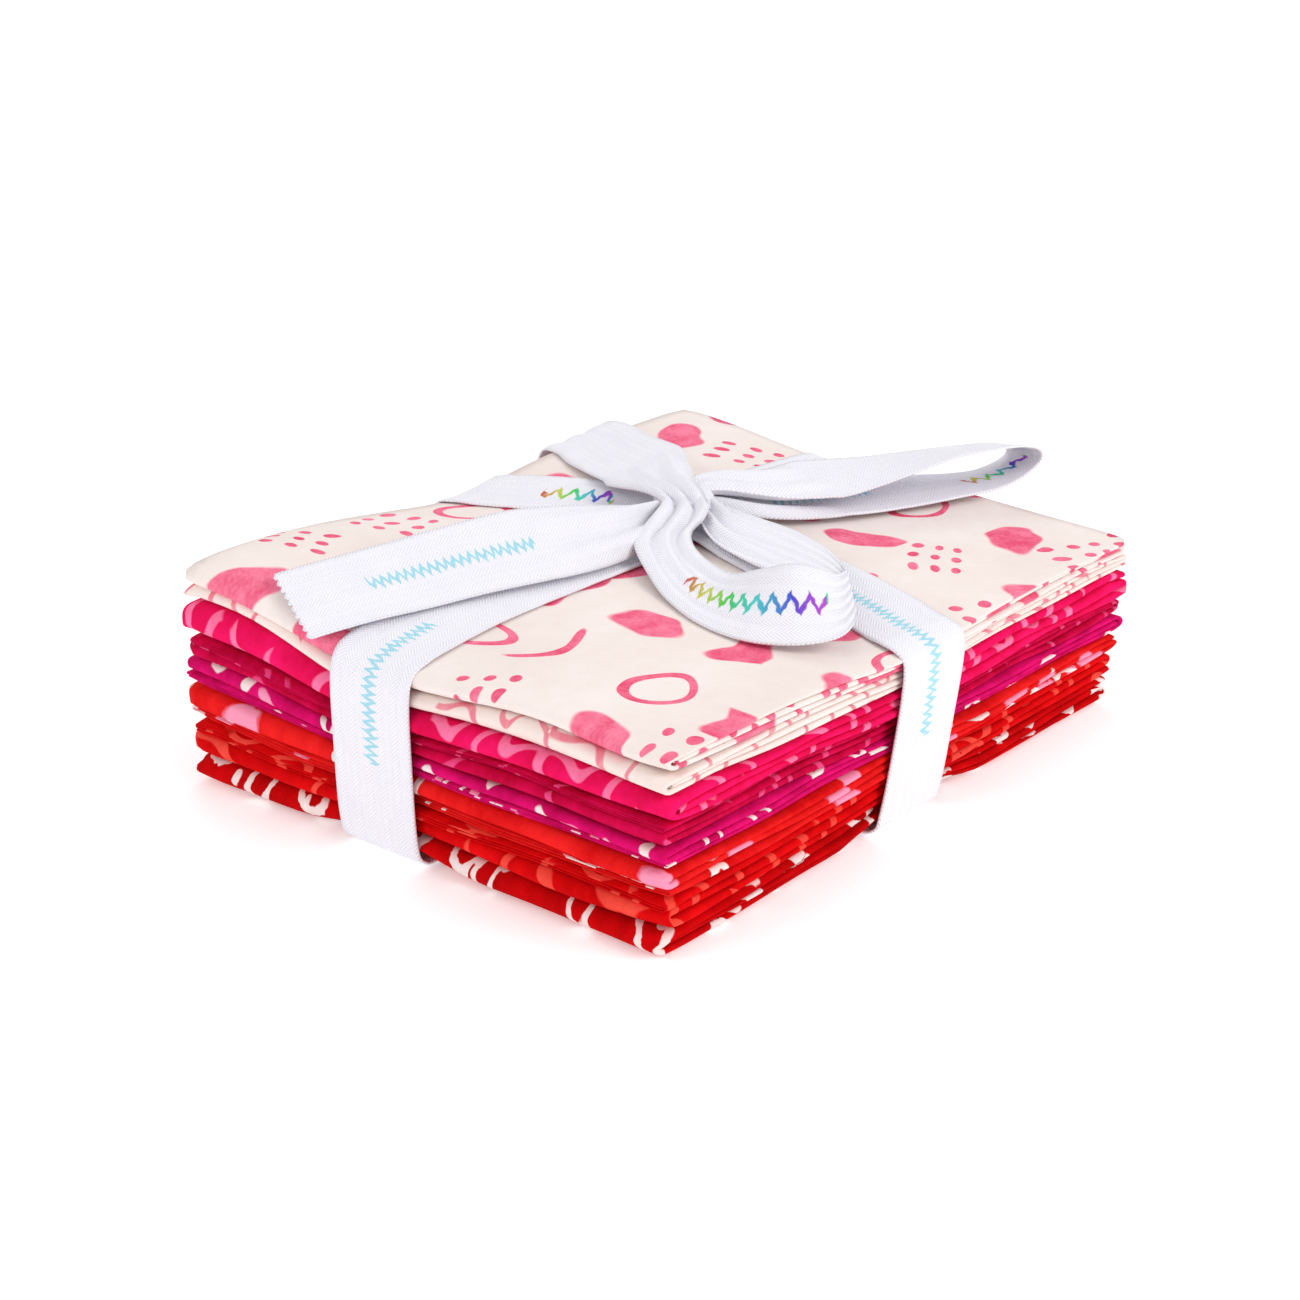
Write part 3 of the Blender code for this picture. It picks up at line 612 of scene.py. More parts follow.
TAIL_BACK = (
    Row(14.6, 6.8, 55.0, 0, 128, 0, 11.5),
    Row(15.0, 9.2, 57.8, 0, 129, -2, 12.5),
    Row(16.6, 14.2, 58.6, 0, 133, -4, 15.5),
    Row(20.4, 21.6, 57.6, 0, 138, -6, 19.5),
    Row(27.0, 30.0, 56.2, 0, 150, -9, 23.0),
    Row(34.8, 38.2, 54.6, 0, 159, -11, 24.5),
    Row(39.2, 48.2, 53.6, 0, 157, -11, 24.5),
    Row(43.2, 57.0, 52.8, 0, 155, -11, 24.1),
    Row(47.5, 65.0, 52.5, 0, 158, -9, 24.1),
    Row(49.6, 72.4, 51.6, 0, 163, -9, 24.1),
    Row(50.9, 77.2, 47.7, 0, 173, -13, 24.5),
    Row(51.5, 79.1, 40.5, 0, 179, -12, 24.5),
    Row(52.0, 80.0, 31.0, 0, 181, -9, 24.3),
    Row(52.1, 80.3, 21.5, 0, 181, -7, 24.4),
)


def smooth_rows(rows, steps, closed):
    """Catmull-Rom values through the rows: on each span a cubic whose slopes come from the rows beside it."""
    values = np.array(rows, dtype=float)
    if closed:
        padded = np.concatenate([values[-1:], values, values[:2]])
        spans = len(values)
    else:
        padded = np.concatenate([values[:1], values, values[-1:]])
        spans = len(values) - 1
    t = (np.arange(steps) / steps)[None, :, None]
    before, here, after, later = (padded[i:i + spans, None, :] for i in range(4))
    curve = 0.5 * (2 * here + (after - before) * t + (2 * before - 5 * here + 4 * after - later) * t ** 2
                   + (3 * here - before - 3 * after + later) * t ** 3)
    curve = curve.reshape(-1, values.shape[1])
    return curve if closed else np.concatenate([curve, values[-1:]])


def ribbon_surface(run):
    """The middle surface of a run of ribbon, as a grid of points in millimetres.

    A flat width is carried along the smoothed rows and follows the stack's top where the rows count from it.
    Where the width is gathered it waves as a sine across, high enough to keep the ribbon's own width. A pinked
    end steps every second place across back and forth.
    """
    rows = [row._replace(z=row.z + row.on_top * level(-1, row.x, row.y)) for row in run.rows]
    x, y, z, on_top, heading, tilt, width = smooth_rows(rows, run.steps, run.closed).T
    heading = np.radians(heading)
    tilt = np.radians(tilt)
    across = np.stack([np.cos(tilt) * np.cos(heading), np.cos(tilt) * np.sin(heading), np.sin(tilt)], axis=-1)
    middle = np.stack([x, y, np.maximum(z, TAPE_THICK / 2)], axis=-1)
    side = np.linspace(-0.5, 0.5, TAPE_COLUMNS)
    lines = middle[:, None] + across[:, None] * (width[:, None] * side[None])[..., None]
    on = np.broadcast_to(on_top[:, None], lines.shape[:2])
    lines[..., 2] += on * (level(-1, lines[..., 0], lines[..., 1]) - level(-1, x, y)[:, None])
    if run.over_long:
        from_long = lines[..., 1] - np.where(on > 0.5, WRAP_LONG_TOP_Y, WRAP_LONG_Y)
        stand_off = OVER_LONG * (on + UNDER_LONG * (1 - on))
        lines[..., 2] += stand_off * plateau(from_long, UNDER_HALF - 1, UNDER_RAMP)
    centre = lines.mean(axis=1)
    if run.closed:
        along = np.roll(centre, -1, axis=0) - np.roll(centre, 1, axis=0)
    else:
        along = np.gradient(centre, axis=0)
    outward = np.cross(along, across)
    outward /= np.linalg.norm(outward, axis=1, keepdims=True)
    gathered = np.clip(RIBBON_WIDTH / np.maximum(width, 1) - 1, 0, MOST_GATHERED)
    wave = np.sqrt(gathered) * width / run.pleats / np.pi * GATHER_HEIGHT
    ripple = wave[:, None] * np.sin(2 * np.pi * run.pleats * side[None] + run.phase)
    lines = lines + outward[:, None] * ripple[..., None]
    if run.cut == "pinked":
        teeth = np.where(np.arange(TAPE_COLUMNS) % 2, 0.5, -0.5) * PINK_DEPTH
        lines[-1] += teeth[:, None] * along[-1] / np.linalg.norm(along[-1])
    return lines


def tape_map(points, closed):
    """The ribbon's map in metres, along its middle and across its width, and its length in millimetres."""
    centre = points.mean(axis=1)
    if closed:
        centre = np.concatenate([centre, centre[:1]])
    distance = np.concatenate([[0], np.cumsum(np.linalg.norm(np.diff(centre, axis=0), axis=1))])
    side = np.linspace(-0.5, 0.5, points.shape[1]) * RIBBON_WIDTH
    return np.stack(np.meshgrid(distance * MM, side * MM, indexing="ij"), axis=-1), distance


def clear_of(points, trees, gap):
    """Push a ribbon that goes round the stack outward until it clears the cloth by the gap.

    Each place moves away from the nearest place of a smaller box at the middle of the stack, so that the
    pushes fan out round the edges. The push that a ray from outside finds there is raised to the mean of its
    neighbours' along the ribbon, again and again, as a tight ribbon bridges the hollows between what it bears
    on. It is then softened both ways by weighted means.
    """
    core = np.clip(points, [-CORE_X, -CORE_Y, CORE_Z], [CORE_X, CORE_Y, CORE_Z])
    outward = points - core
    outward /= np.linalg.norm(outward, axis=2, keepdims=True)
    needed = np.zeros(points.shape[:2])
    for place in np.ndindex(needed.shape):
        origin = Vector((points[place] + outward[place] * RAY_START) * MM)
        direction = Vector(-outward[place])
        for tree in trees:
            distance = tree.ray_cast(origin, direction, (RAY_START + gap) * MM)[3]
            if distance is not None:
                needed[place] = max(needed[place], RAY_START + gap - distance / MM)
    push = needed.copy()
    for _ in range(BRIDGE_ROUNDS):
        push = np.maximum(push, (np.roll(push, -1, axis=0) + np.roll(push, 1, axis=0)) / 2)
    for _ in range(SOFTEN_ROUNDS):
        push = (np.roll(push, -1, axis=0) + 2 * push + np.roll(push, 1, axis=0)) / 4
        sides = np.pad(push, ((0, 0), (1, 1)), mode="edge")
        push = np.maximum((sides[:, :-2] + 2 * push + sides[:, 2:]) / 4, needed - PRESSED_IN)
    return points + outward * push[..., None]


def mark_shares(distance, run):
    """For each row of a run, how far through its aqua marks and its rainbow marks it lies, or nothing."""
    for name, (start, end) in (("aqua", run.aqua), ("rainbow", run.rainbow)):
        share = (distance - start) / max(end - start, 1e-6)
        yield name, np.where((share > 0) & (share < 1), share, 0.0)


# steps is the number of places between two rows. pleats and phase set the sine of the gathers. aqua and rainbow
# are where each kind of mark starts and ends along the run, in millimetres.
Run = namedtuple("Run", "node rows steps closed over_long pleats phase cut aqua rainbow rests_on")
RUNS = (
    Run("ribbon_wrap_long", WRAP_LONG, 7, True, False, 2.0, 0.0, "", (98, 142), (0, 0),
        ("folded_fat_quarter_1",)),
    Run("ribbon_wrap_cross", WRAP_CROSS, 7, True, True, 2.0, 0.0, "", (60, 112), (353, 371),
        ("folded_fat_quarter_1",)),
    Run("ribbon_loop_right", LOOP_RIGHT, 8, False, False, 2.5, 0.4, "", (24, 52), (84, 104),
        ("folded_fat_quarter_1", "ribbon_wrap_long")),
    Run("ribbon_loop_front", LOOP_FRONT, 8, False, False, 2.5, 1.2, "", (0, 0), (42, 88),
        ("folded_fat_quarter_1", "ribbon_wrap_cross")),
    Run("ribbon_tail_left", TAIL_LEFT, 9, False, False, 2.0, 2.0, "pinked", (50, 94), (0, 0),
        ("folded_fat_quarter_1", "ribbon_wrap_long")),
    Run("ribbon_tail_back", TAIL_BACK, 9, False, False, 3.0, 0.6, "pinked", (0, 0), (0, 0),
        ("folded_fat_quarter_1", "ribbon_wrap_cross")),
)


def cloth_trees():
    """Search trees of the folded cuts, for the ribbon to bear on."""
    graph = bpy.context.evaluated_depsgraph_get()
    cuts = [piece for piece in bpy.data.objects if piece.name.startswith("folded_")]
    return [BVHTree.FromObject(piece, graph) for piece in cuts]


def tie_ribbon(finish):
    """Make the runs of ribbon, drape the wraps on the cloth, and stand them for their solids."""
    trees = cloth_trees()
    for run in RUNS:
        points = ribbon_surface(run)
        if run.closed:
            points = clear_of(points, trees, TAPE_THICK / 2 + TAPE_GAP)
        uv, distance = tape_map(points, run.closed)
        piece = weave_mesh("twill_" + run.node, points, uv, closed=run.closed)
        for name, shares in mark_shares(distance[:len(points)], run):
            shares = np.repeat(shares, points.shape[1]).astype(np.float32)
            piece.data.attributes.new(name, "FLOAT", "POINT").data.foreach_set("value", shares)
        thicken(piece, TAPE_THICK)
        piece.data.materials.append(finish)
        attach(piece, "root")
        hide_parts(run.node)


def turn_knot(finish):
    """The lump of gathered ribbon inside the knot.

    A ball whose parts are raised to a power, so that its shoulders are square, turned to the bow's heading,
    with grooves that run lengthwise as a sine of the angle round it.
    """
    angle = np.linspace(0, 2 * np.pi, KNOT_ROUND, endpoint=False)[None, :]
    rise = np.linspace(0, np.pi, KNOT_LONG)[:, None]
    groove = np.sin(KNOT_GROOVES * angle + KNOT_GROOVE_TWIST * np.cos(rise)) * np.sin(rise)
    groove = 1 + KNOT_GROOVE_DEPTH * groove
    x = np.cos(rise) + 0 * angle
    y = np.sin(rise) * np.cos(angle) * groove
    z = np.sin(rise) * np.sin(angle) * groove
    x, y, z = (
        np.sign(part) * np.abs(part) ** KNOT_SQUARENESS * half for part, half in zip((x, y, z), KNOT_HALF))
    turn = math.radians(KNOT_HEADING)
    points = np.stack([KNOT_CENTRE[0] + x * math.cos(turn) - y * math.sin(turn),
                       KNOT_CENTRE[1] + x * math.sin(turn) + y * math.cos(turn), KNOT_CENTRE[2] + z], axis=-1)
    lengthwise = rise / np.pi * KNOT_TAPE + 0 * angle
    crosswise = angle / (2 * np.pi) * RIBBON_WIDTH * MM + 0 * rise
    uv = np.stack([lengthwise, crosswise], axis=-1)
    points = np.concatenate([points, points[:, :1]], axis=1)
    uv = np.concatenate([uv, uv[:, :1] + [0, RIBBON_WIDTH * MM]], axis=1)
    piece = weave_mesh("twill_ribbon_knot", points, uv)
    weld = piece.modifiers.new("closed", "WELD")
    weld.merge_threshold = 1e-5
    piece.data.materials.append(finish)
    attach(piece, "root")
    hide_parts("ribbon_knot")


class Value:
    """A shader socket that does arithmetic: each operator adds the Math node that works it out."""

    def __init__(self, tree, socket):
        self.tree = tree
        self.socket = socket

    def math(self, operation, *others):
        node = self.tree.nodes.new("ShaderNodeMath")
        node.operation = operation
        for place, term in enumerate((self, *others)):
            if isinstance(term, Value):
                self.tree.links.new(term.socket, node.inputs[place])
            else:
                node.inputs[place].default_value = term
        return Value(self.tree, node.outputs[0])

    def __add__(self, other):
        return self.math("ADD", other)

    __radd__ = __add__

    def __mul__(self, other):
        return self.math("MULTIPLY", other)

    __rmul__ = __mul__

    def __sub__(self, other):
        return self.math("SUBTRACT", other)

    def __rsub__(self, other):
        return (self * -1.0) + other

    def __truediv__(self, other):
        return self.math("DIVIDE", other)

    def __pow__(self, other):
        return self.math("POWER", other)

    def __mod__(self, other):
        return self.math("FLOORED_MODULO", other)

    def __abs__(self):
        return self.math("ABSOLUTE")

    def __lt__(self, other):
        return self.math("LESS_THAN", other)

    def __gt__(self, other):
        return self.math("GREATER_THAN", other)

    def sine(self):
        return self.math("SINE")

    def least(self, other):
        return self.math("MINIMUM", other)

    def most(self, other):
        return self.math("MAXIMUM", other)

    def below(self, edge, soft):
        """One below the edge, nothing above it, with a soft change between."""
        return ((edge + soft - self) / (2 * soft)).clamp()

    def clamp(self):
        return self.math("MAXIMUM", 0.0).math("MINIMUM", 1.0)


class Finish:
    """A material under construction, with its Principled shader and its cloth map."""

    def __init__(self, name, roughness):
        self.material = bpy.data.materials.new(name)
        self.material.use_nodes = True
        self.tree = self.material.node_tree
        self.shader = self.tree.nodes["Principled BSDF"]
        self.shader.inputs["Roughness"].default_value = roughness
        self.shader.inputs["Specular IOR Level"].default_value = CLOTH_SPECULAR
        self.cloth = self.node("ShaderNodeUVMap", {"uv_map": "cloth"}, {}, "UV")

    def node(self, kind, settings, sockets, output):
        """Any node: its settings are set first, then its sockets get values or links."""
        node = self.tree.nodes.new(kind)
        for key, setting in settings.items():
            setattr(node, key, setting)
        for key, term in sockets.items():
            if isinstance(term, Value):
                self.tree.links.new(term.socket, node.inputs[key])
            else:
                node.inputs[key].default_value = term
        names = output if isinstance(output, tuple) else (output,)
        found = tuple(Value(self.tree, node.outputs[name]) for name in names)
        return found if isinstance(output, tuple) else found[0]

    def mix(self, share, first, second):
        """A colour between two colours."""
        colours = {6: first, 7: second}
        sockets = {0: share}
        for place, colour in colours.items():
            sockets[place] = colour if isinstance(colour, Value) else (*colour, 1.0)
        return self.node("ShaderNodeMix", {"data_type": "RGBA", "clamp_factor": True}, sockets, 2)

    def stretch(self, vector, factor, offset=(0.0, 0.0, 0.0)):
        """A vector times one factor plus an offset."""
        scaled = self.node(
            "ShaderNodeVectorMath", {"operation": "SCALE"}, {0: vector, "Scale": factor}, "Vector")
        return self.node("ShaderNodeVectorMath", {"operation": "ADD"}, {0: scaled, 1: offset}, "Vector")

    def noise(self, vector, scale, detail=2.0, output="Fac", rough=0.5):
        return self.node("ShaderNodeTexNoise", {"noise_dimensions": "2D"},
                         {"Vector": vector, "Scale": scale, "Detail": detail, "Roughness": rough}, output)

    def parts(self, vector):
        return self.node("ShaderNodeSeparateXYZ", {}, {0: vector}, ("X", "Y", "Z"))

    def colour(self, colour):
        self.tree.links.new(colour.socket, self.shader.inputs["Base Color"])

    def bump(self, height, strength, distance):
        sockets = {"Strength": strength, "Distance": distance, "Height": height}
        normal = self.node("ShaderNodeBump", {}, sockets, "Normal")
        self.tree.links.new(normal.socket, self.shader.inputs["Normal"])


def hand_drawn(finish, waver, offset):
    """The cloth map in millimetres, pushed about by a smooth noise so that what is drawn on it wavers."""
    place = finish.stretch(finish.cloth, 1000.0, offset)
    push = finish.noise(place, 0.05, 0.0, "Color")
    push = finish.node(
        "ShaderNodeVectorMath", {"operation": "SUBTRACT"}, {0: push, 1: (0.5, 0.5, 0.5)}, "Vector")
    push = finish.stretch(push, waver)
    return finish.node("ShaderNodeVectorMath", {"operation": "ADD"}, {0: place, 1: push}, "Vector")


def scatter(finish, place, pitch, randomness):
    """Cells of about the pitch across: a turned place inside each, in millimetres, and its random numbers."""
    spread = finish.stretch(place, 1.0 / pitch)
    middle, random = finish.node(
        "ShaderNodeTexVoronoi", {"voronoi_dimensions": "2D", "feature": "F1"},
        {"Vector": spread, "Scale": 1.0, "Randomness": randomness}, ("Position", "Color"))
    inside = finish.node("ShaderNodeVectorMath", {"operation": "SUBTRACT"}, {0: spread, 1: middle}, "Vector")
    inside = finish.stretch(inside, pitch)
    first, second, third = finish.parts(random)
    turned = finish.node("ShaderNodeVectorRotate", {"rotation_type": "Z_AXIS"},
                         {"Vector": inside, "Angle": first * FULL_TURN}, "Vector")
    x, y, _ = finish.parts(turned)
    return x, y, second, third


def oval(x, y, long, wide):
    """Under 1 inside an oval of those half sizes."""
    return ((x / long) ** 2.0 + (y / wide) ** 2.0) ** 0.5


def choose(pick, low, high, inside, otherwise):
    """One value where the pick lies between low and high, and another elsewhere."""
    chosen = (pick > low) * (pick < high)
    return chosen * inside + (1.0 - chosen) * otherwise


def weave(finish):
    """The bump of a plain weave: a sine each way at the pitch of the threads, on a soft unevenness."""
    u, v, _ = finish.parts(finish.cloth)
    threads = (u * (2 * math.pi / THREAD_ALONG)).sine() * (v * (2 * math.pi / THREAD_ACROSS)).sine()
    slub = finish.noise(finish.stretch(finish.cloth, 1000.0), 0.9, 3.0)
    finish.bump(threads * 0.35 + slub * 0.9, WEAVE_STRENGTH, WEAVE_HEIGHT)


def dyed(finish, dark, light, size):
    """Hand-dyed ground: two tones mixed by a broad noise and a finer one over it."""
    place = finish.stretch(finish.cloth, 1000.0, DYE_OFFSET)
    broad = finish.noise(place, 1.0 / size, 3.0)
    fine = finish.noise(place, 5.0 / size, 4.0, "Fac", 0.65)
    share = ((broad * 0.65 + fine * 0.35 - 0.5) * DYE_CONTRAST + 0.5).clamp()
    return finish.mix(share, dark, light)


def cream_large():
    """Warm cream with large watercolour motifs: petals, rings, wedges, strokes and patches of dots.

    Each cell of the scatter holds the motif that its random number picks. A motif is a distance that is 1 at
    its outline, and a broad noise is added to it so that the outline wavers.
    """
    finish = Finish("cotton_cream_large", COTTON_ROUGHNESS)
    ground = dyed(finish, (0.83, 0.725, 0.68), (0.905, 0.815, 0.785), 30.0)
    place = hand_drawn(finish, 7.0, (25.0, 9.0, 0.0))
    x, y, pick, size = scatter(finish, place, 28.0, 0.30)
    edge = (finish.noise(place, 0.12, 0.0) - 0.5) * 0.55
    petal = oval(x, y, 10.6, 6.2)
    ring = abs(oval(x, y, 1.0, 0.72) - 10.2) / 1.35
    wedge = oval((abs(x) * 0.72 + y * 0.69).most(0.0), y.least(0.0), 6.6, 5.6)
    stroke = oval(abs(oval(x, y + 15.0, 1.0, 1.0) - 15.0), x, 1.8, 11.5)
    dot_x = ((x / DOT_PITCH_X + 0.5) % 1.0 - 0.5) * DOT_PITCH_X
    dot_y = ((y / DOT_PITCH_Y + 0.5) % 1.0 - 0.5) * DOT_PITCH_Y
    patch = (abs(x) < 1.5 * DOT_PITCH_X) * (abs(y) < 1.5 * DOT_PITCH_Y)
    dots = oval(dot_x, dot_y, 1.85, 1.45) + (1.0 - patch) * 9.0
    petals, rings, wedges, strokes = 0.26, 0.48, 0.62, 0.72
    shape = choose(pick, -1.0, petals, petal, choose(pick, petals, rings, ring, choose(
        pick, rings, wedges, wedge, choose(pick, wedges, strokes, stroke, dots))))
    mask = (shape + edge * (pick < strokes)).below(1.0, 0.06)
    pools = (finish.noise(place, 0.14, 4.0, "Fac", 0.6) - 0.5) * 2.2
    wash = pools + (finish.noise(place, 1.1, 3.0) - 0.5) * 1.0
    depth = (wash + 0.45 + (size - 0.5) * 0.35).clamp()
    paint = finish.mix(depth, (0.78, 0.048, 0.150), (0.93, 0.21, 0.34))
    finish.colour(finish.mix(mask * 0.95, ground, paint))
    weave(finish)
    return finish.material


def line_print(name, ground, line, scale, half_width, waver, seed, cut=0.62):
    """A dyed ground with wandering lines of even width, in millimetres, cut off where another noise is high.

    A line follows one height of a smooth noise. Its distance is the difference from that height over the
    noise's slope, and the slope comes from the noise a small step further each way.
    """
    finish = Finish(name, COTTON_ROUGHNESS)
    base = dyed(finish, ground[0], ground[1], ground[2])
    place = hand_drawn(finish, waver, (seed, seed * 1.7, 0.0))
    height = finish.noise(place, scale, 0.0)
    slope_x = finish.noise(finish.stretch(place, 1.0, (SLOPE_STEP, 0.0, 0.0)), scale, 0.0) - height
    slope_y = finish.noise(finish.stretch(place, 1.0, (0.0, SLOPE_STEP, 0.0)), scale, 0.0) - height
    slope = (slope_x ** 2.0 + slope_y ** 2.0) ** 0.5 / SLOPE_STEP
    mask = (abs(height - 0.5) / slope).below(half_width, LINE_SOFTNESS)
    mask = mask * finish.noise(place, scale * 0.7, 0.0).below(cut, 0.012)
    tone = (finish.noise(place, 0.4, 3.0) - 0.5) * 0.5 + 0.82
    finish.colour(finish.mix((mask * tone).clamp(), base, line))
    weave(finish)
    return finish.material


def spot_print(name, ground, layers, seed):
    """A dyed ground with layers of scattered ovals or rings.

    Each layer has its colour, pitch, half sizes, share of cells used, and the width of its stroke, or 0 if it
    is filled.
    """
    finish = Finish(name, COTTON_ROUGHNESS)
    result = dyed(finish, ground[0], ground[1], ground[2])
    for number, (colour, pitch, long, wide, share, stroke) in enumerate(layers):
        place = hand_drawn(finish, 5.0, (seed + 31.0 * number, seed * 2.3, 0.0))
        x, y, pick, _ = scatter(finish, place, pitch, 0.6)
        reach = oval(x, y, long, wide) + (finish.noise(place, 0.5, 1.0) - 0.5) * 0.3
        if stroke:
            reach = abs(reach - 1.0) / stroke
        mask = reach.below(1.0, 0.1) * (pick < share)
        result = finish.mix(mask * 0.93, result, colour)
    finish.colour(result)
    weave(finish)
    return finish.material


def twill_ribbon():
    """Cool white herringbone twill: ribs that slant one way and then the other in lanes along the tape.

    Runs of plain aqua zigzag, and others worked in rainbow colours, stand where the mesh's attributes say.
    A zigzag is a triangle wave along the tape, and its stroke is where the tape is near that wave.
    The grooves of the ribs and the seams between lanes are painted a darker, bluer grey as shade.
    """
    finish = Finish("twill_ribbon", RIBBON_ROUGHNESS)
    millimetres = finish.stretch(finish.cloth, 1000.0)
    along, across, _ = finish.parts(millimetres)
    lane = ((across / LANE) % 2.0) > 1.0
    slant = lane * 2.0 - 1.0
    rib = ((along + across * slant) * (2 * math.pi / RIB)).sine()
    seam = abs(((across / LANE) % 1.0) - 0.5).below(0.42, 0.08)
    height = (rib * 0.5 + 0.5) * (0.55 + 0.45 * seam)
    soft = finish.noise(millimetres, 0.12, 3.0)
    # Painted shade: a darker, bluer grey where the ribs and lane seams are low, as in grooves; the soft noise
    # adds a random tone
    white = finish.mix(height * 0.8 + soft * 0.25, (0.78, 0.765, 0.86), (0.98, 0.97, 0.99))
    jitter = (finish.noise(millimetres, 0.45, 0.0, "Color") - 0.5) * 3.4
    aqua_share = finish.node("ShaderNodeAttribute", {"attribute_name": "aqua"}, {}, "Fac")
    rainbow_share = finish.node("ShaderNodeAttribute", {"attribute_name": "rainbow"}, {}, "Fac")

    def zigzag(share, pitch, reach, width):
        """The stroke of a zigzag, where the share is neither nothing nor one."""
        wave = (abs((along / pitch + jitter * 0.12) % 1.0 - 0.5) * 4.0 - 1.0) * (reach + jitter * 0.5)
        near = abs(across - wave) / (width * math.hypot(1.0, 4 * reach / pitch))
        return near.below(1.0, 0.3) * (share > 0.01)

    aqua = zigzag(aqua_share, 2.1, 1.5, 0.36)
    bright = zigzag(rainbow_share, 4.4, 2.6, 0.56)
    rainbow = finish.node("ShaderNodeCombineColor", {"mode": "HSV"},
                          {0: rainbow_share * 0.82, 1: 0.93, 2: 0.60}, "Color")
    printed = finish.mix(aqua * 0.75, white, AQUA)
    finish.colour(finish.mix(bright * 0.95, printed, rainbow))
    finish.bump(height + bright * 0.6, TWILL_STRENGTH, TWILL_HEIGHT)
    return finish.material


def cotton_finishes():
    """The finish of each fat quarter, by its slot."""
    white = (0.90, 0.80, 0.78)
    orchid = (0.93, 0.33, 0.50)
    return {
        "cotton_cream_large": cream_large(),
        "cotton_cream_loops": line_print(
            "cotton_cream_loops", ((0.84, 0.70, 0.65), (0.91, 0.80, 0.755), 25.0), (0.80, 0.16, 0.24),
            0.080, 0.65, 6.0, 5.0, 0.64),
        "cotton_hot_pink": line_print(
            "cotton_hot_pink", ((0.66, 0.003, 0.055), (0.94, 0.010, 0.145), 14.0), (0.95, 0.22, 0.42),
            0.078, 1.0, 7.0, 11.0, 0.60),
        "cotton_raspberry": line_print(
            "cotton_raspberry", ((0.38, 0.001, 0.022), (0.72, 0.004, 0.085), 12.0), (0.80, 0.08, 0.25),
            0.075, 0.8, 5.0, 23.0, 0.5),
        "cotton_magenta": spot_print(
            "cotton_magenta", ((0.46, 0.002, 0.070), (0.84, 0.007, 0.19), 12.0),
            ((white, 10.5, 2.2, 1.3, 0.4, 0), (white, 17.0, 5.5, 2.4, 0.3, 0.22),
             (orchid, 12.0, 3.2, 1.0, 0.3, 0)), 7.0),
        "cotton_coral": spot_print(
            "cotton_coral", ((0.60, 0.002, 0.004), (0.92, 0.020, 0.020), 16.0),
            ((orchid, 19.0, 6.8, 3.4, 0.55, 0), (white, 21.0, 6.0, 2.6, 0.4, 0.26),
             (white, 16.0, 2.8, 1.3, 0.3, 0)), 17.0),
        "cotton_red": line_print(
            "cotton_red", ((0.50, 0.001, 0.002), (0.80, 0.004, 0.006), 14.0), (0.92, 0.085, 0.06),
            0.075, 1.1, 6.0, 31.0),
        "cotton_dark_red": spot_print(
            "cotton_dark_red", ((0.40, 0.001, 0.002), (0.68, 0.002, 0.004), 14.0),
            ((white, 15.0, 5.6, 3.2, 0.75, 0.24), (white, 9.0, 1.3, 1.0, 0.35, 0)), 3.0),
    }


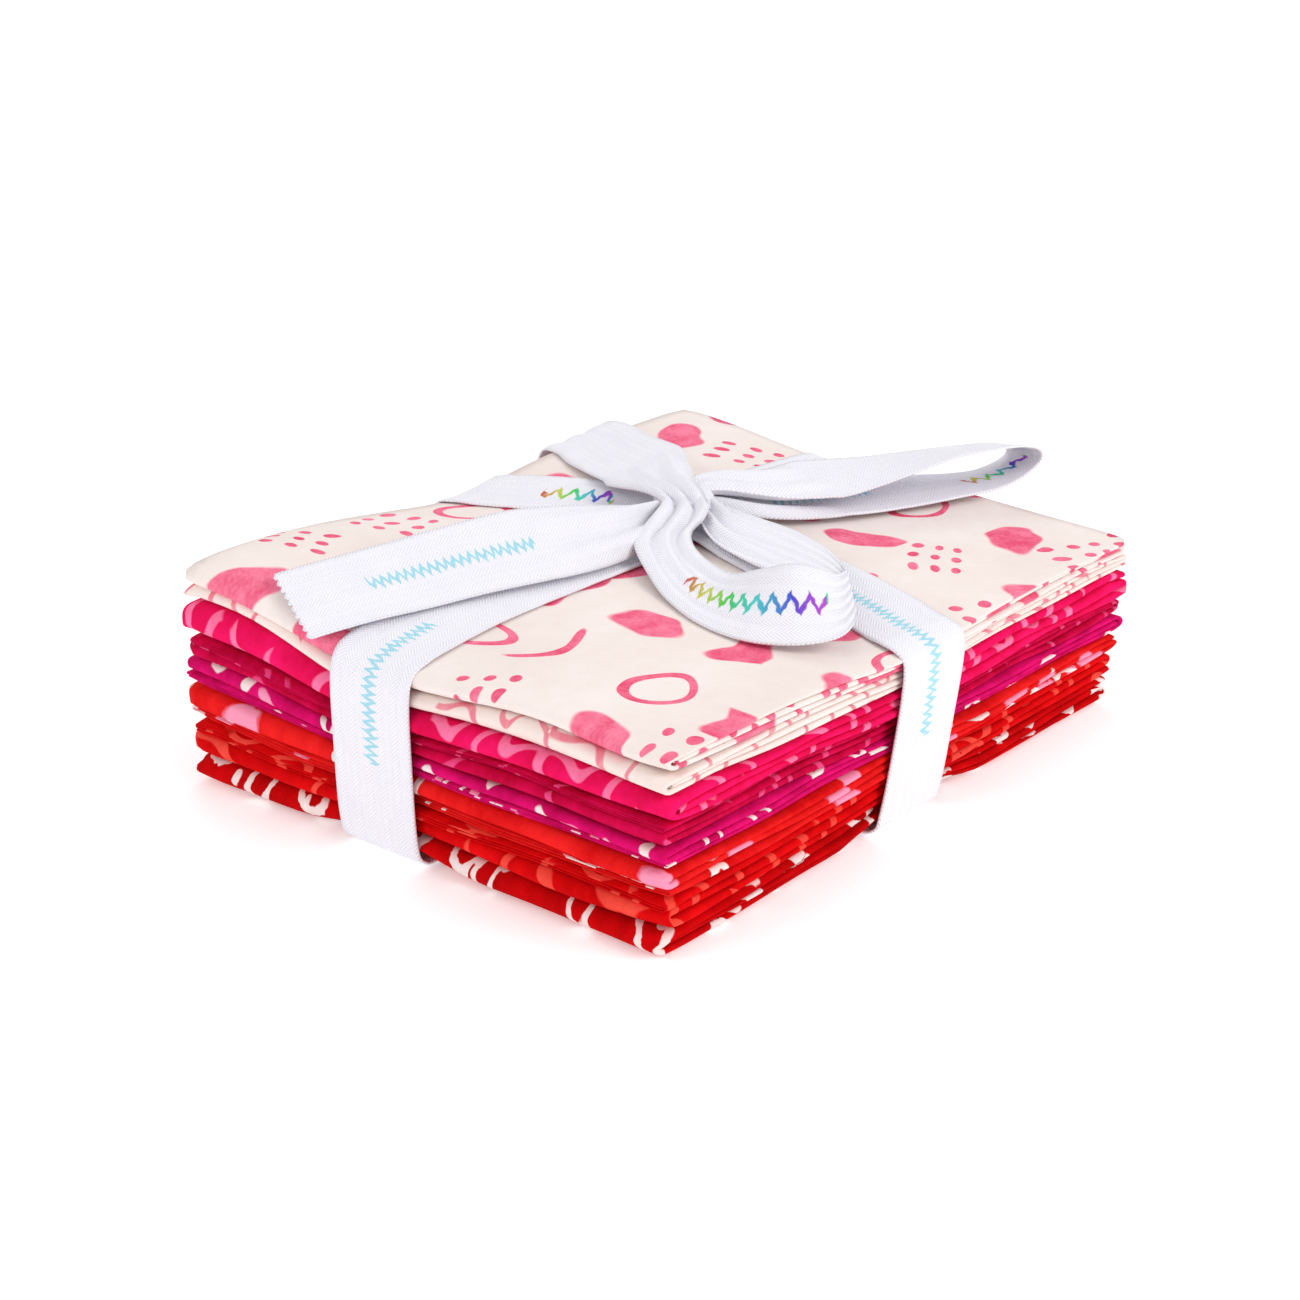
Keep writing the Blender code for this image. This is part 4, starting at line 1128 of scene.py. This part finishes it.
def floor_and_light():
    """A plain pale floor and soft studio light from above and both sides."""
    mesh = bpy.data.meshes.new("floor")
    corners = ((-1, -1), (1, -1), (1, 1), (-1, 1))
    mesh.from_pydata([(x * FLOOR_REACH, y * FLOOR_REACH, FLOOR_HEIGHT) for x, y in corners], [], [(0, 1, 2, 3)])
    floor = bpy.data.objects.new("floor", mesh)
    bpy.context.scene.collection.objects.link(floor)
    material = bpy.data.materials.new("pale_floor")
    material.use_nodes = True
    shader = material.node_tree.nodes["Principled BSDF"]
    shader.inputs["Base Color"].default_value = (0.92, 0.92, 0.925, 1.0)
    shader.inputs["Roughness"].default_value = 0.9
    shader.inputs["Specular IOR Level"].default_value = 0.1
    shader.inputs["Emission Color"].default_value = (1.0, 1.0, 1.0, 1.0)
    shader.inputs["Emission Strength"].default_value = FLOOR_GLOW
    mesh.materials.append(material)

    world = bpy.data.worlds.new("studio")
    bpy.context.scene.world = world
    world.use_nodes = True
    tree = world.node_tree
    seen = tree.nodes.new("ShaderNodeBackground")
    mixed = tree.nodes.new("ShaderNodeMixShader")
    path = tree.nodes.new("ShaderNodeLightPath")
    for background, strength, place in ((tree.nodes["Background"], WORLD_LIGHT, 1), (seen, WORLD_SEEN, 2)):
        background.inputs["Color"].default_value = (1.0, 1.0, 1.0, 1.0)
        background.inputs["Strength"].default_value = strength
        tree.links.new(background.outputs[0], mixed.inputs[place])
    tree.links.new(path.outputs["Is Camera Ray"], mixed.inputs[0])
    tree.links.new(mixed.outputs[0], tree.nodes["World Output"].inputs["Surface"])

    for name, place, size, power in (
            ("key", (0.15, -1.05, 0.80), 0.6, 6.5),
            ("left", (-1.05, 0.25, 0.75), 0.6, 3.2),
            ("back", (0.7, 0.8, 0.9), 0.7, 2.6)):
        lamp = bpy.data.lights.new(name, "AREA")
        lamp.energy = power
        lamp.size = size
        light = bpy.data.objects.new(name, lamp)
        bpy.context.scene.collection.objects.link(light)
        light.location = place
        light.rotation_euler = (Vector(LAMP_AIM) - Vector(place)).to_track_quat("-Z", "Y").to_euler()


def photo_camera():
    """The camera at the photograph's place, with its focal length from pixels of the photograph's frame."""
    camera = bpy.data.cameras.new("camera")
    camera.sensor_fit = "HORIZONTAL"
    camera.sensor_width = SENSOR
    camera.lens = PHOTO_FOCAL / PHOTO_SIDE * SENSOR
    view = bpy.data.objects.new("camera", camera)
    bpy.context.scene.collection.objects.link(view)
    yaw, pitch = math.radians(CAMERA_YAW), math.radians(CAMERA_PITCH)
    heading = Vector((math.cos(yaw) * math.cos(pitch), math.sin(yaw) * math.cos(pitch), -math.sin(pitch)))
    view.location = CAMERA_PLACE
    view.rotation_euler = heading.to_track_quat("-Z", "Y").to_euler()
    bpy.context.scene.camera = view
    bpy.context.scene.view_settings.view_transform = "Standard"


fold_quarters(cotton_finishes())
ribbon_finish = twill_ribbon()
tie_ribbon(ribbon_finish)
turn_knot(ribbon_finish)
floor_and_light()
photo_camera()
